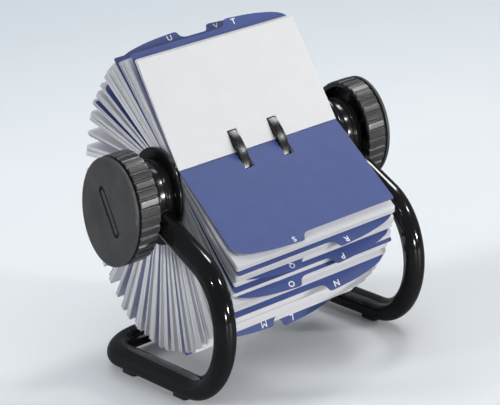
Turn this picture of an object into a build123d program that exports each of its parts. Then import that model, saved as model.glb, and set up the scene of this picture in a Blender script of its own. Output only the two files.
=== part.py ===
"""Rotary card file: a bent tube stand carrying a knob-turned rotor with two
T-section card rings, slotted cards and tabbed index dividers.

Frame: +X to the right as seen from the front, -Y towards the user, +Z up.
The origin lies on the desk, straight below the middle of the rotor axis.
Lengths are in millimetres, angles in degrees unless noted.
"""
import math
import os
import random

from build123d import *

os.makedirs("parts", exist_ok=True)

# ---------------------------------------------------------- shared dimensions
AXIS_H = 96.0                # rotor axis above the desk
# stand
TUBE_R = 6.0
TUBE_WALL = 1.2
TUBE_X = 60.6                # side planes of the stand
# hubs: inner faces look at the cards, outer faces at the knobs
HUB_R = 20.5
HUB_INNER_X, HUB_OUTER_X = 54.0, 69.2
HUB_W = HUB_OUTER_X - HUB_INNER_X
COVER_INNER_X = 51.8
BUSH_R = 5.0
COVER_SCREW_R = 1.25
COVER_SCREW_PITCH_R = 14.6
COVER_SCREW_ANGLES = (10.0, 110.0, 268.0)
LOCK_SCREW_R = 1.4
LOCK_SEAT_X = HUB_OUTER_X - 1.2   # underside of the lock screws' heads
# spindle and what sits on it
SPINDLE_R = 3.0
SPINDLE_END_X = 76.0
RUN_GAP = 0.05               # radial running clearance, spindle in bush
FIT_GAP = 0.05               # clearance of the pieces fitted on the spindle
FLAT_OFFSET = SPINDLE_R - 0.5     # drive flats, off the spindle axis
FLAT_CUT = (10, 4)           # rectangle that cuts a drive flat
FLAT_CUT_Y = FLAT_OFFSET + FLAT_CUT[1] / 2
KNOB_BOSS_X = HUB_OUTER_X + 2.0   # inner end of the knob boss and its drive flat
KNOB_SEAT_X = 77.2           # underside of the knob screws' heads
SPACER_END_X = 48.4
THRUST_T = 0.8
CLIP_GROOVE_X = SPACER_END_X + THRUST_T
CLIP_GROOVE_W = 0.8
# card rings
RING_X = 12.8                # centre planes of the card rings
RING_R = 28.5
FLANGE_W, FLANGE_T = 5.5, 1.5
WEB_T = 2.0
CORE_R = 8.0                 # spacer tubes


# -------------------------------------------------------------------- helpers
def save(part, name):
    part.label = name
    export_step(part, f"parts/{name}.step")


def save_pair(right, name):
    """Save a right-hand piece and its mirror image."""
    save(right.part, f"right_{name}")
    with BuildPart() as left:
        mirror(right.part, about=Plane.YZ)
    save(left.part, f"left_{name}")


def unit(angle):
    return math.cos(math.radians(angle)), math.sin(math.radians(angle))


def side_plane(x, angle=0.0, radius=0.0):
    """Plane facing +X, its origin off the axis by radius at angle (from -Y up).

    Its local x points to the front and its local y points down.
    """
    forward, up = unit(angle)
    return Plane(
        origin=(x, -radius * forward, AXIS_H + radius * up),
        x_dir=(0, -1, 0),
        z_dir=(1, 0, 0),
    )


# ------------------------------------------------------------------ the stand
PAD_T = 1.2                  # how far the feet hold the rails off the desk
RAIL_Z = TUBE_R + PAD_T
FRONT_BEND_R = 34.5          # centreline radius
FRONT_BEND_Y = -43.2         # centre of the front bend
FRONT_BEND_Z = RAIL_Z + FRONT_BEND_R
REAR_Y = 45.5                # rear cross tube
REAR_BEND_R = 18.0           # centreline radius of the two rear bends
ARM_START = 9.0              # tube end, from the rotor axis, inside the hub
LOCK_DISTANCE = 14.5         # lock screw, from the rotor axis along the arm


def front_bend_point(angle):
    """(y, z) on the front bend's centreline; angle in radians."""
    return (
        FRONT_BEND_Y + FRONT_BEND_R * math.cos(angle),
        FRONT_BEND_Z + FRONT_BEND_R * math.sin(angle),
    )


# the arm runs from the rotor axis tangent to the front bend
bend_to_axis = math.hypot(FRONT_BEND_Y, AXIS_H - FRONT_BEND_Z)
touch_angle = (
    math.atan2(AXIS_H - FRONT_BEND_Z, -FRONT_BEND_Y) + math.acos(FRONT_BEND_R / bend_to_axis)
)
touch = front_bend_point(touch_angle)
bend_middle = front_bend_point((touch_angle + 1.5 * math.pi) / 2)
arm_length = math.hypot(touch[0], touch[1] - AXIS_H)
arm_dir = (touch[0] / arm_length, (touch[1] - AXIS_H) / arm_length)   # y, z


def arm_point(distance):
    """Point on the right arm's centreline at a distance from the rotor axis."""
    return TUBE_X, arm_dir[0] * distance, AXIS_H + arm_dir[1] * distance


def arm_plane(distance):
    return Plane(origin=arm_point(distance), x_dir=(1, 0, 0), z_dir=Vector(0, *arm_dir))


def lock_plane(x, side=1):
    """Plane facing outwards, centred on a lock screw; side is 1 right, -1 left."""
    _, y, z = arm_point(LOCK_DISTANCE)
    return Plane(origin=(side * x, y, z), z_dir=(side, 0, 0))


rear_bend_inset = REAR_BEND_R * (1 - math.sqrt(0.5))   # bend middle, from its outer corner

with BuildPart() as frame_tube:
    with BuildLine() as path:
        Line(arm_point(ARM_START), (TUBE_X, *touch))
        ThreePointArc(
            (TUBE_X, *touch),
            (TUBE_X, *bend_middle),
            (TUBE_X, FRONT_BEND_Y, RAIL_Z),
        )
        Line((TUBE_X, FRONT_BEND_Y, RAIL_Z), (TUBE_X, REAR_Y - REAR_BEND_R, RAIL_Z))
        ThreePointArc(
            (TUBE_X, REAR_Y - REAR_BEND_R, RAIL_Z),
            (TUBE_X - rear_bend_inset, REAR_Y - rear_bend_inset, RAIL_Z),
            (TUBE_X - REAR_BEND_R, REAR_Y, RAIL_Z),
        )
        Line((TUBE_X - REAR_BEND_R, REAR_Y, RAIL_Z), (0, REAR_Y, RAIL_Z))
    with BuildSketch(Plane(origin=path.line @ 0, z_dir=path.line % 0)):
        Circle(TUBE_R)
        Circle(TUBE_R - TUBE_WALL, mode=Mode.SUBTRACT)
    sweep(path=path.line)
    mirror(about=Plane.YZ)
    # one screw hole through the outer wall of each end, inside the hub
    for side in (1, -1):
        with BuildSketch(lock_plane(60.0, side)):
            Circle(LOCK_SCREW_R + 0.1)
        extrude(amount=10, mode=Mode.SUBTRACT)
save(frame_tube.part, "frame_tube")

# anti-slip pads: cut to the tube's underside so that they cradle it
PAD_L, PAD_W = 14.0, 5.5
PAD_YS = (-34.0, 18.0)
PAD_CRADLE_H = 1.35          # how far the pads reach up round the tube
with BuildPart() as rubber_feet:
    with BuildSketch(Plane.XY):
        for y in PAD_YS:
            with Locations((TUBE_X, y), (-TUBE_X, y)):
                SlotOverall(PAD_L, PAD_W, rotation=90)
    extrude(amount=PAD_T + PAD_CRADLE_H)
    for x in (TUBE_X, -TUBE_X):
        with BuildSketch(Plane(origin=(x, -60, RAIL_Z), z_dir=(0, 1, 0))):
            Circle(TUBE_R)
        extrude(amount=110, mode=Mode.SUBTRACT)
save(rubber_feet.part, "rubber_feet")

# ------------------------------------------------------------------- the hubs
HUB_GROOVE_XS = (58.0, 63.6)
HUB_GROOVE_W, HUB_GROOVE_D = 1.6, 0.7
HUB_WALL = 2.0
HUB_WEB_T = 1.6              # outer end wall
BUSH_WALL = 2.6              # round the bush bore
SOCKET_START, SOCKET_L = 8.0, 14.0   # along the arm
SOCKET_WALL = 1.4
SCREW_POST_R = 3.0
TRIM_R = HUB_R + 20          # cutters that trim the hub's outside

with BuildPart() as hub_housing:
    with BuildSketch(side_plane(HUB_INNER_X)):
        Circle(HUB_R)
    extrude(amount=HUB_W)
    fillet(hub_housing.edges().group_by(Axis.X)[-1], 2.0)
    for groove_x in HUB_GROOVE_XS:
        with BuildSketch(side_plane(groove_x - HUB_GROOVE_W / 2)):
            Circle(HUB_R + 1)
            Circle(HUB_R - HUB_GROOVE_D, mode=Mode.SUBTRACT)
        extrude(amount=HUB_GROOVE_W, mode=Mode.SUBTRACT)
    # hollow behind the outer web
    with BuildSketch(side_plane(HUB_INNER_X)):
        Circle(HUB_R - HUB_WALL)
        Circle(BUSH_R + BUSH_WALL, mode=Mode.SUBTRACT)
    extrude(amount=HUB_W - HUB_WEB_T, mode=Mode.SUBTRACT)
    # socket for the stand's arm, trimmed flush with the hub's rim
    with BuildSketch(arm_plane(SOCKET_START)):
        Circle(TUBE_R + SOCKET_WALL)
    extrude(amount=SOCKET_L)
    with BuildSketch(side_plane(HUB_INNER_X)):
        Circle(TRIM_R)
        Circle(HUB_R, mode=Mode.SUBTRACT)
    extrude(amount=HUB_W, mode=Mode.SUBTRACT)
    # screw posts for the cover
    for angle in COVER_SCREW_ANGLES:
        with BuildSketch(side_plane(HUB_INNER_X, angle, COVER_SCREW_PITCH_R)):
            Circle(SCREW_POST_R)
        extrude(amount=HUB_W - 1.0)
    # trim whatever stands past the two end faces
    for trim_x in (HUB_INNER_X - 10, HUB_OUTER_X):
        with BuildSketch(side_plane(trim_x)):
            Circle(TRIM_R)
        extrude(amount=10, mode=Mode.SUBTRACT)
    # bores: bush, arm, cover screws, lock screw
    with BuildSketch(side_plane(HUB_INNER_X - 1)):
        Circle(BUSH_R)
    extrude(amount=HUB_W + 2, mode=Mode.SUBTRACT)
    with BuildSketch(arm_plane(ARM_START)):
        Circle(TUBE_R)
    extrude(amount=20, mode=Mode.SUBTRACT)
    for angle in COVER_SCREW_ANGLES:
        with BuildSketch(side_plane(HUB_INNER_X - 1, angle, COVER_SCREW_PITCH_R)):
            Circle(COVER_SCREW_R)
        extrude(amount=11.0, mode=Mode.SUBTRACT)
    with BuildSketch(lock_plane(TUBE_X)):
        Circle(LOCK_SCREW_R)
    extrude(amount=10, mode=Mode.SUBTRACT)
    with BuildSketch(lock_plane(LOCK_SEAT_X)):
        Circle(2.8)
    extrude(amount=4, mode=Mode.SUBTRACT)
save_pair(hub_housing, "hub_housing")

# covers: the wide thin flange that faces the cards
COVER_R = 26.0
COUNTERSINK_R, COUNTERSINK_D = 2.8, 1.2
with BuildPart() as hub_cover:
    with BuildSketch(side_plane(COVER_INNER_X)):
        Circle(COVER_R)
    extrude(amount=HUB_INNER_X - COVER_INNER_X)
    fillet(hub_cover.edges().group_by(Axis.X)[-1].sort_by(SortBy.RADIUS)[-1], 1.3)
    fillet(hub_cover.edges().group_by(Axis.X)[0].sort_by(SortBy.RADIUS)[-1], 0.6)
    with BuildSketch(side_plane(COVER_INNER_X - 1)):
        Circle(BUSH_R + 0.1)
    extrude(amount=6, mode=Mode.SUBTRACT)
    for angle in COVER_SCREW_ANGLES:
        with BuildSketch(side_plane(COVER_INNER_X, angle, COVER_SCREW_PITCH_R)):
            Circle(1.6)
        extrude(amount=6, mode=Mode.SUBTRACT)
        with BuildSketch(side_plane(COVER_INNER_X, angle, COVER_SCREW_PITCH_R)):
            Circle(COUNTERSINK_R)
        extrude(amount=COUNTERSINK_D, taper=45, mode=Mode.SUBTRACT)
save_pair(hub_cover, "hub_cover")

# countersunk screws that hold each cover, with a cross recess
COVER_HEAD_R, COVER_HEAD_H = 2.6, 1.15
COVER_HEAD_X = COVER_INNER_X + 0.1
COVER_SCREW_L = 10.0
SMALL_CROSS_L, SMALL_CROSS_W = 2.4, 0.5
with BuildPart() as cover_screws:
    for angle in COVER_SCREW_ANGLES:
        with BuildSketch(side_plane(COVER_HEAD_X, angle, COVER_SCREW_PITCH_R)):
            Circle(COVER_HEAD_R)
        extrude(amount=COVER_HEAD_H, taper=45)
        with BuildSketch(side_plane(COVER_HEAD_X, angle, COVER_SCREW_PITCH_R)):
            Circle(COVER_SCREW_R)
        extrude(amount=COVER_SCREW_L)
        with BuildSketch(side_plane(COVER_INNER_X, angle, COVER_SCREW_PITCH_R)):
            Rectangle(SMALL_CROSS_L, SMALL_CROSS_W)
            Rectangle(SMALL_CROSS_W, SMALL_CROSS_L)
        extrude(amount=0.7, mode=Mode.SUBTRACT)
save_pair(cover_screws, "cover_screws")

# screws that lock the arm in each hub, reached from outside with the knob off
LOCK_HEAD_R, LOCK_HEAD_H = 2.4, 1.1
LOCK_SHANK_L = 3.3           # reaches 0.1 into the head
with BuildPart() as tube_lock_screws:
    with BuildSketch(lock_plane(LOCK_SEAT_X)):
        Circle(LOCK_HEAD_R)
    extrude(amount=LOCK_HEAD_H)
    with BuildSketch(lock_plane(LOCK_SEAT_X + 0.1 - LOCK_SHANK_L)):
        Circle(LOCK_SCREW_R)
    extrude(amount=LOCK_SHANK_L)
    with BuildSketch(lock_plane(LOCK_SEAT_X + 0.6)):
        Rectangle(SMALL_CROSS_L, SMALL_CROSS_W)
        Rectangle(SMALL_CROSS_W, SMALL_CROSS_L)
    extrude(amount=2, mode=Mode.SUBTRACT)
    mirror(about=Plane.YZ)
save(tube_lock_screws.part, "tube_lock_screws")

# plain bearings, flanged on the knob side
BUSH_OVERHANG = 1.4          # past the hub's inner face, into the cover
BUSH_FLANGE_R, BUSH_FLANGE_T = BUSH_R + 1.6, 1.0
with BuildPart() as bush:
    with BuildSketch(side_plane(HUB_INNER_X - BUSH_OVERHANG)):
        Circle(BUSH_R)
    extrude(amount=HUB_W + BUSH_OVERHANG)
    with BuildSketch(side_plane(HUB_OUTER_X)):
        Circle(BUSH_FLANGE_R)
    extrude(amount=BUSH_FLANGE_T)
    with BuildSketch(side_plane(COVER_INNER_X - 3)):
        Circle(SPINDLE_R + RUN_GAP)
    extrude(amount=24, mode=Mode.SUBTRACT)
save_pair(bush, "bush")

# ------------------------------------------------------------------ the rotor
MIDDLE_FLAT_X = 16.0         # half length of the flat under the rings
TAP_R, TAP_D = 1.25, 11      # holes for the knob screws
with BuildPart() as spindle:
    with BuildSketch(side_plane(-SPINDLE_END_X)):
        Circle(SPINDLE_R)
    extrude(amount=2 * SPINDLE_END_X)
    chamfer(spindle.edges().group_by(Axis.X)[0] + spindle.edges().group_by(Axis.X)[-1], 0.4)
    # drive flats on the underside: one under each knob, one under the rings
    for start_x, end_x in (
        (-SPINDLE_END_X, -KNOB_BOSS_X),
        (-MIDDLE_FLAT_X, MIDDLE_FLAT_X),
        (KNOB_BOSS_X, SPINDLE_END_X),
    ):
        with BuildSketch(side_plane(start_x)):
            with Locations((0, FLAT_CUT_Y)):
                Rectangle(*FLAT_CUT)
        extrude(amount=end_x - start_x, mode=Mode.SUBTRACT)
    # grooves for the retaining clips
    for start_x in (CLIP_GROOVE_X, -CLIP_GROOVE_X - CLIP_GROOVE_W):
        with BuildSketch(side_plane(start_x)):
            Circle(SPINDLE_R + 1)
            Circle(SPINDLE_R - 0.6, mode=Mode.SUBTRACT)
        extrude(amount=CLIP_GROOVE_W, mode=Mode.SUBTRACT)
    # tapped holes for the knob screws
    for start_x in (SPINDLE_END_X - TAP_D, -SPINDLE_END_X - 1):
        with BuildSketch(side_plane(start_x)):
            Circle(TAP_R)
        extrude(amount=TAP_D + 1, mode=Mode.SUBTRACT)
save(spindle.part, "spindle")

SPOKES = 5
SPOKE_W = 5.0
SPOKE_L = RING_R - CORE_R - 3
SPOKE_MID_R = (CORE_R + RING_R - 6) / 2
RIM_INNER_R = RING_R - 6.5


def card_ring(x):
    """T-section ring: hub, five spokes, thin web rim and a wide outer flange."""
    with BuildPart() as ring:
        with BuildSketch(side_plane(x - WEB_T / 2)):
            Circle(RING_R - 0.6)
            Circle(RIM_INNER_R, mode=Mode.SUBTRACT)
        extrude(amount=WEB_T)
        with BuildSketch(side_plane(x - WEB_T / 2)):
            for i in range(SPOKES):
                angle = 90 + 360 / SPOKES * i
                along, across = unit(angle)
                with Locations((SPOKE_MID_R * along, SPOKE_MID_R * across)):
                    Rectangle(SPOKE_L, SPOKE_W, rotation=angle)
            Circle(CORE_R + 1.5)
        extrude(amount=WEB_T)
        with BuildSketch(side_plane(x - FLANGE_W / 2)):
            Circle(RING_R)
            Circle(RING_R - FLANGE_T, mode=Mode.SUBTRACT)
        extrude(amount=FLANGE_W)
        fillet(ring.edges().filter_by(GeomType.CIRCLE).sort_by(SortBy.RADIUS)[-2:], 0.5)
        # spindle bore with its drive flat
        with BuildSketch(side_plane(x - 3)):
            Circle(SPINDLE_R + FIT_GAP)
            with Locations((0, FLAT_CUT_Y + FIT_GAP)):
                Rectangle(*FLAT_CUT, mode=Mode.SUBTRACT)
        extrude(amount=6, mode=Mode.SUBTRACT)
    return ring.part


save(card_ring(-RING_X), "left_card_ring")
save(card_ring(RING_X), "right_card_ring")

FLUTES = 6
FLUTE_R = 2.2
FLUTE_PITCH_R = CORE_R + 0.9


def spacer_tube(start_x, end_x):
    """Tube on the spindle with lightening flutes along its outside."""
    with BuildPart() as spacer:
        with BuildSketch(side_plane(start_x)):
            Circle(CORE_R)
            Circle(SPINDLE_R + FIT_GAP, mode=Mode.SUBTRACT)
        extrude(amount=end_x - start_x)
        with BuildSketch(side_plane(start_x)):
            for i in range(FLUTES):
                along, across = unit(360 / FLUTES * i)
                with Locations((FLUTE_PITCH_R * along, FLUTE_PITCH_R * across)):
                    Circle(FLUTE_R)
        extrude(amount=end_x - start_x, mode=Mode.SUBTRACT)
    return spacer.part


# the spacers hold the rings apart and centre the rotor
save(spacer_tube(-RING_X + WEB_T / 2, RING_X - WEB_T / 2), "centre_spacer")
save(spacer_tube(RING_X + WEB_T / 2, SPACER_END_X), "right_spacer")
save(spacer_tube(-SPACER_END_X, -RING_X - WEB_T / 2), "left_spacer")


def washers(start_x, outer_r, gap, thickness):
    """A washer on the spindle at each side."""
    with BuildPart() as pair:
        with BuildSketch(side_plane(start_x)):
            Circle(outer_r)
            Circle(SPINDLE_R + gap, mode=Mode.SUBTRACT)
        extrude(amount=thickness)
        mirror(about=Plane.YZ)
    return pair.part


# between the spacers and the clips
save(washers(SPACER_END_X, 6.0, FIT_GAP, THRUST_T), "thrust_washers")
# against the bush flanges, to stop the rotor from drifting
save(washers(HUB_OUTER_X + BUSH_FLANGE_T, 6.2, 0.1, 0.9), "friction_washers")

# C-clips in the spindle grooves, open at the top
CLIP_R = 5.0
CLIP_SIDE_GAP = 0.05
with BuildPart() as retaining_clips:
    with BuildSketch(side_plane(CLIP_GROOVE_X + CLIP_SIDE_GAP)):
        Circle(CLIP_R)
        Circle(SPINDLE_R - 0.55, mode=Mode.SUBTRACT)
        with Locations((0, -5)):
            Rectangle(4.2, 8, mode=Mode.SUBTRACT)
    extrude(amount=CLIP_GROOVE_W - 2 * CLIP_SIDE_GAP)
    mirror(about=Plane.YZ)
save(retaining_clips.part, "retaining_clips")

# ------------------------------------------------------------------ the knobs
KNOB_R = 29.0
KNOB_INNER_X, KNOB_FACE_X = 67.6, 82.0
GRIP_END_X = 78.8            # the grooved band ends here, then a neck up to the cap
GRIP_GROOVES = 36
GRIP_GROOVE_R = 0.85
NECK_R = 26.7
CUP_WALL, CUP_D = 3.0, 9.0
BOSS_R, BOSS_L = 7.0, 8.0
STIFFENERS = 6
STIFFENER_L, STIFFENER_T, STIFFENER_W = 22.0, 1.6, 6.0
STIFFENER_MID_R = 16.0
CAP_R = 28.7
CAP_INNER_X = 80.2
SPIGOT_R, SPIGOT_WALL, SPIGOT_L = 22.0, 1.6, 1.0

with BuildPart() as knob:
    with BuildSketch(side_plane(KNOB_INNER_X)):
        Circle(KNOB_R)
    extrude(amount=GRIP_END_X - KNOB_INNER_X)
    chamfer(knob.edges().group_by(Axis.X)[0] + knob.edges().group_by(Axis.X)[-1], 0.5)
    with BuildSketch(side_plane(GRIP_END_X)):
        Circle(NECK_R)
    extrude(amount=CAP_INNER_X - GRIP_END_X)
    # the cup that hides the hub
    with BuildSketch(side_plane(KNOB_INNER_X)):
        Circle(KNOB_R - CUP_WALL)
    extrude(amount=CUP_D, mode=Mode.SUBTRACT)
    # centre boss onto the spindle, and six ribs that stiffen the cup
    with BuildSketch(side_plane(KNOB_BOSS_X)):
        Circle(BOSS_R)
    extrude(amount=BOSS_L)
    with BuildSketch(side_plane(KNOB_BOSS_X + 1.5)):
        for i in range(STIFFENERS):
            angle = 360 / STIFFENERS * i + 30
            along, across = unit(angle)
            with Locations((STIFFENER_MID_R * along, STIFFENER_MID_R * across)):
                Rectangle(STIFFENER_L, STIFFENER_T, rotation=angle)
    extrude(amount=STIFFENER_W)
    # the seat for the cap's spigot
    with BuildSketch(side_plane(CAP_INNER_X - SPIGOT_L)):
        Circle(SPIGOT_R + 0.1)
    extrude(amount=3, mode=Mode.SUBTRACT)
    # grip grooves round the rim
    with BuildSketch(side_plane(KNOB_INNER_X - 1)):
        with PolarLocations(KNOB_R + 0.15, GRIP_GROOVES):
            Circle(GRIP_GROOVE_R)
    extrude(amount=GRIP_END_X - KNOB_INNER_X + 1, mode=Mode.SUBTRACT)
    # spindle bore with its drive flat, and the knob screw's hole and seat
    with BuildSketch(side_plane(HUB_OUTER_X)):
        Circle(SPINDLE_R + FIT_GAP)
        with Locations((0, FLAT_CUT_Y + FIT_GAP)):
            Rectangle(*FLAT_CUT, mode=Mode.SUBTRACT)
    extrude(amount=SPINDLE_END_X + 0.2 - HUB_OUTER_X, mode=Mode.SUBTRACT)
    with BuildSketch(side_plane(HUB_OUTER_X)):
        Circle(1.7)
    extrude(amount=20, mode=Mode.SUBTRACT)
    with BuildSketch(side_plane(KNOB_SEAT_X)):
        Circle(3.4)
    extrude(amount=10, mode=Mode.SUBTRACT)
save_pair(knob, "knob")

# face caps that snap over the knob screws; a plain bar is sunk in each
BAR_L, BAR_W, BAR_ANGLE = 29.0, 5.4, 54.0    # the bar's recess
BAR_RECESS_D, BAR_H = 0.6, 0.45
BAR_MARGIN = 1.1             # from the bar to the recess's edge
with BuildPart() as knob_cap:
    with BuildSketch(side_plane(CAP_INNER_X)):
        Circle(CAP_R)
    extrude(amount=KNOB_FACE_X - CAP_INNER_X)
    fillet(knob_cap.edges().filter_by(GeomType.CIRCLE).group_by(Axis.X)[-1], 0.7)
    with BuildSketch(side_plane(CAP_INNER_X - SPIGOT_L)):
        Circle(SPIGOT_R)
        Circle(SPIGOT_R - SPIGOT_WALL, mode=Mode.SUBTRACT)
    extrude(amount=SPIGOT_L)
    with BuildSketch(side_plane(KNOB_FACE_X - BAR_RECESS_D)):
        SlotOverall(BAR_L, BAR_W, rotation=BAR_ANGLE)
    extrude(amount=2, mode=Mode.SUBTRACT)
    with BuildSketch(side_plane(KNOB_FACE_X - BAR_RECESS_D)):
        SlotOverall(BAR_L - 2 * BAR_MARGIN, BAR_W - 2 * BAR_MARGIN, rotation=BAR_ANGLE)
    extrude(amount=BAR_H)
save_pair(knob_cap, "knob_cap")

# knob screws, under the caps
KNOB_HEAD_R, KNOB_HEAD_H = 3.1, 2.0
KNOB_SCREW_R, KNOB_SHANK_L = 1.2, 10.4
KNOB_SCREW_TIP_X = 67.0
KNOB_CROSS_L, KNOB_CROSS_W = 3.2, 0.6
with BuildPart() as knob_screws:
    with BuildSketch(side_plane(KNOB_SEAT_X)):
        Circle(KNOB_HEAD_R)
    extrude(amount=KNOB_HEAD_H)
    with BuildSketch(side_plane(KNOB_SCREW_TIP_X)):
        Circle(KNOB_SCREW_R)
    extrude(amount=KNOB_SHANK_L)
    with BuildSketch(side_plane(KNOB_SEAT_X + 1.0)):
        Rectangle(KNOB_CROSS_L, KNOB_CROSS_W)
        Rectangle(KNOB_CROSS_W, KNOB_CROSS_L)
    extrude(amount=2, mode=Mode.SUBTRACT)
    mirror(about=Plane.YZ)
save(knob_screws.part, "knob_screws")

# ------------------------------------------------------------- leaf outlines
CARD_W, CARD_H, CARD_T = 101.6, 66.7, 0.2
CORNER = 1.2                 # corner cut
SLOT_W, SLOT_D = 6.0, 12.6
MOUTH_W, LIP_T = 4.2, 1.0    # each slot narrows to a mouth between two lips
GUIDE_H = 64.6               # divider without its tab
# a tab's outline: (across from the middle, height), from the outer corner in
TAB_EDGE = [
    (-50.8, 57.5), (-50.4, 59.6), (-49.2, 61.6), (-47.6, 63.1), (-45.5, 64.3), (-42.0, 65.6),
    (-38.0, 66.6), (-34.0, 67.4), (-30.0, 68.1), (-25.0, 68.7), (-20.0, 69.1), (-15.0, 69.45),
    (-12.8, 69.6), (-11.7, 69.5), (-10.9, 69.15), (-10.4, 68.5), (-10.1, 67.6), (-9.7, 66.7),
    (-9.0, 65.8), (-7.9, 65.1), (-6.5, 64.7), (-4.8, 64.6),
]


def bottom_edge():
    """Outline points of the slotted bottom edge, left to right."""
    points = [(-CARD_W / 2, 0)]
    mouth, slot = MOUTH_W / 2, SLOT_W / 2
    for x in (-RING_X, RING_X):
        points += [
            (x - mouth, 0), (x - mouth, LIP_T), (x - slot, LIP_T), (x - slot, SLOT_D),
            (x + slot, SLOT_D), (x + slot, LIP_T), (x + mouth, LIP_T), (x + mouth, 0),
        ]
    return points + [(CARD_W / 2, 0)]


def outline(kind):
    """Leaf outline: C is a card, L or R a divider with its tab on that half."""
    side = CARD_W / 2
    if kind == "C":
        return bottom_edge() + [
            (side, CARD_H - CORNER), (side - CORNER, CARD_H),
            (-side + CORNER, CARD_H), (-side, CARD_H - CORNER),
        ]
    points = bottom_edge() + [(side, GUIDE_H - CORNER), (side - CORNER, GUIDE_H)]
    points += reversed(TAB_EDGE)
    if kind == "R":
        points = [(-x, y) for x, y in reversed(points)]
    return points


# In the side view u points to the user and v up, both from the rotor axis. A
# leaf runs from its bottom edge in a direction given as an angle from u
# towards v. Its reach is the bottom edge's distance from the axis along that
# direction; its offset is measured square to it, along the angle less 90.
def leaf(kind, angle, u, v):
    """A leaf with the middle of its bottom edge at (u, v)."""
    forward, up = unit(angle)
    leaf_up = Vector(0, -forward, up)
    plane = Plane(
        origin=(0, -u, AXIS_H + v),
        x_dir=(1, 0, 0),
        z_dir=Vector(1, 0, 0).cross(leaf_up),
    )
    with BuildPart() as one:
        with BuildSketch(plane):
            with BuildLine():
                Polyline(*outline(kind), close=True)
            make_face()
        extrude(amount=CARD_T / 2, both=True)
    return one.part


# ------------------------------------------------------------------- the fan
FAN_SEED = 41
FAN_FIRST, FAN_LAST = 133.0, 326.6   # directions of its first and last leaf
FAN_OFFSET = 23.55                   # first leaf's offset; the last has its negative
GROUP_SIZES = (3, 4, 5, 5, 6, 8)     # leaves that lie together
OPENING_STEP = 0.6                   # a wider step counts as an opening
CLOSED_PITCH, OPEN_PITCH = 0.29, 0.36   # least bottom-edge spacing, in a group and between
# divider directions; their tabs alternate, left first
DIVIDER_ANGLES = [
    138.0, 139.6, 151.0, 160.0, 167.5, 176.0, 184.0, 193.0, 202.0, 211.0, 220.0, 229.0,
    239.5, 247.0, 255.0, 263.0, 271.0, 280.2, 295.0, 310.3, 315.4, 318.2, 320.2, 324.0,
]
# The tables below are (direction, value), interpolated between rows.
# reach of a leaf at rest
REST_REACH = [
    (132, 4.2), (136, 6.2), (140, 9.2), (143, 11.0), (146, 12.0), (165, 12.3),
    (174, 11.0), (190, 11.0), (215, 13.0), (230, 14.6), (240, 16.4), (260, 15.8),
    (280, 17.0), (292, 15.2), (304, 13.6), (311, 13.4), (316, 12.0), (320, 10.2),
    (324, 9.0), (328, 8.5),
]
# how wide the fan opens between groups
OPENINGS = [
    (132, 0.35), (142, 0.55), (150, 1.7), (200, 1.9),
    (240, 1.4), (296, 0.9), (310, 0.9), (328, 0.7),
]
# how much of an opening is already there at the bottom edges
SPREAD = [(133, 0.1), (190, 0.2), (230, 1.0), (328, 1.4)]
# how far a group may slip along its leaves
GROUP_SLIP = [(140, 0.4), (160, 1.2), (270, 1.2), (300, 0.5)]
# how far dividers stand out, most in the two thick stacks
DIVIDER_SLIP = [
    (142, 4.0), (150, 0.6), (270, 1.0), (280, 2.7), (295, 2.0), (310, 5.4),
    (316, 4.4), (318.2, 3.6), (320.2, 1.4), (324, 4.7), (328, 4.8),
]


def interpolate(x, points):
    for (x0, y0), (x1, y1) in zip(points, points[1:]):
        if x <= x1:
            return y0 + (y1 - y0) * (x - x0) / (x1 - x0)
    return points[-1][1]


def leaf_reach(angle, offset, slip=0.0):
    """Reach of a leaf, kept so that its slots clear the flange and its lips stay inside it."""
    rest = slip + interpolate(angle, REST_REACH)
    least = math.sqrt(max(RING_R ** 2 - offset ** 2, 0)) - SLOT_D + 0.45
    most = math.sqrt(max((RING_R - FLANGE_T) ** 2 - offset ** 2, 0)) - LIP_T - 0.35
    return min(max(rest, least), most)


def fan_directions(rng):
    """[(direction, kind)] for every leaf of the fan."""
    leaves, angle, left_in_group, used = [], FAN_FIRST, 0, 0
    while angle < FAN_LAST:
        if used < len(DIVIDER_ANGLES) and angle >= DIVIDER_ANGLES[used] - 0.2:
            leaves.append((angle, "LR"[used % 2]))
            used += 1
        else:
            leaves.append((angle, "C"))
        if left_in_group <= 0:
            left_in_group = rng.choice(GROUP_SIZES)
            angle += rng.uniform(1.5, 3.3) * interpolate(angle, OPENINGS)
        else:
            left_in_group -= 1
            angle += rng.uniform(0.22, 0.42)
    return leaves


def offsets(angles, extra):
    """Offset of each leaf, with extra bottom-edge spacing per degree of opening."""
    offset, result = FAN_OFFSET, [FAN_OFFSET]
    for angle, following in zip(angles, angles[1:]):
        step = following - angle
        if step < OPENING_STEP:
            pitch = CLOSED_PITCH
        else:
            pitch = OPEN_PITCH + extra * interpolate(angle, SPREAD) * (step - OPENING_STEP)
        offset += leaf_reach(angle, offset) * math.radians(step) - pitch
        result.append(offset)
    return result


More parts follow.
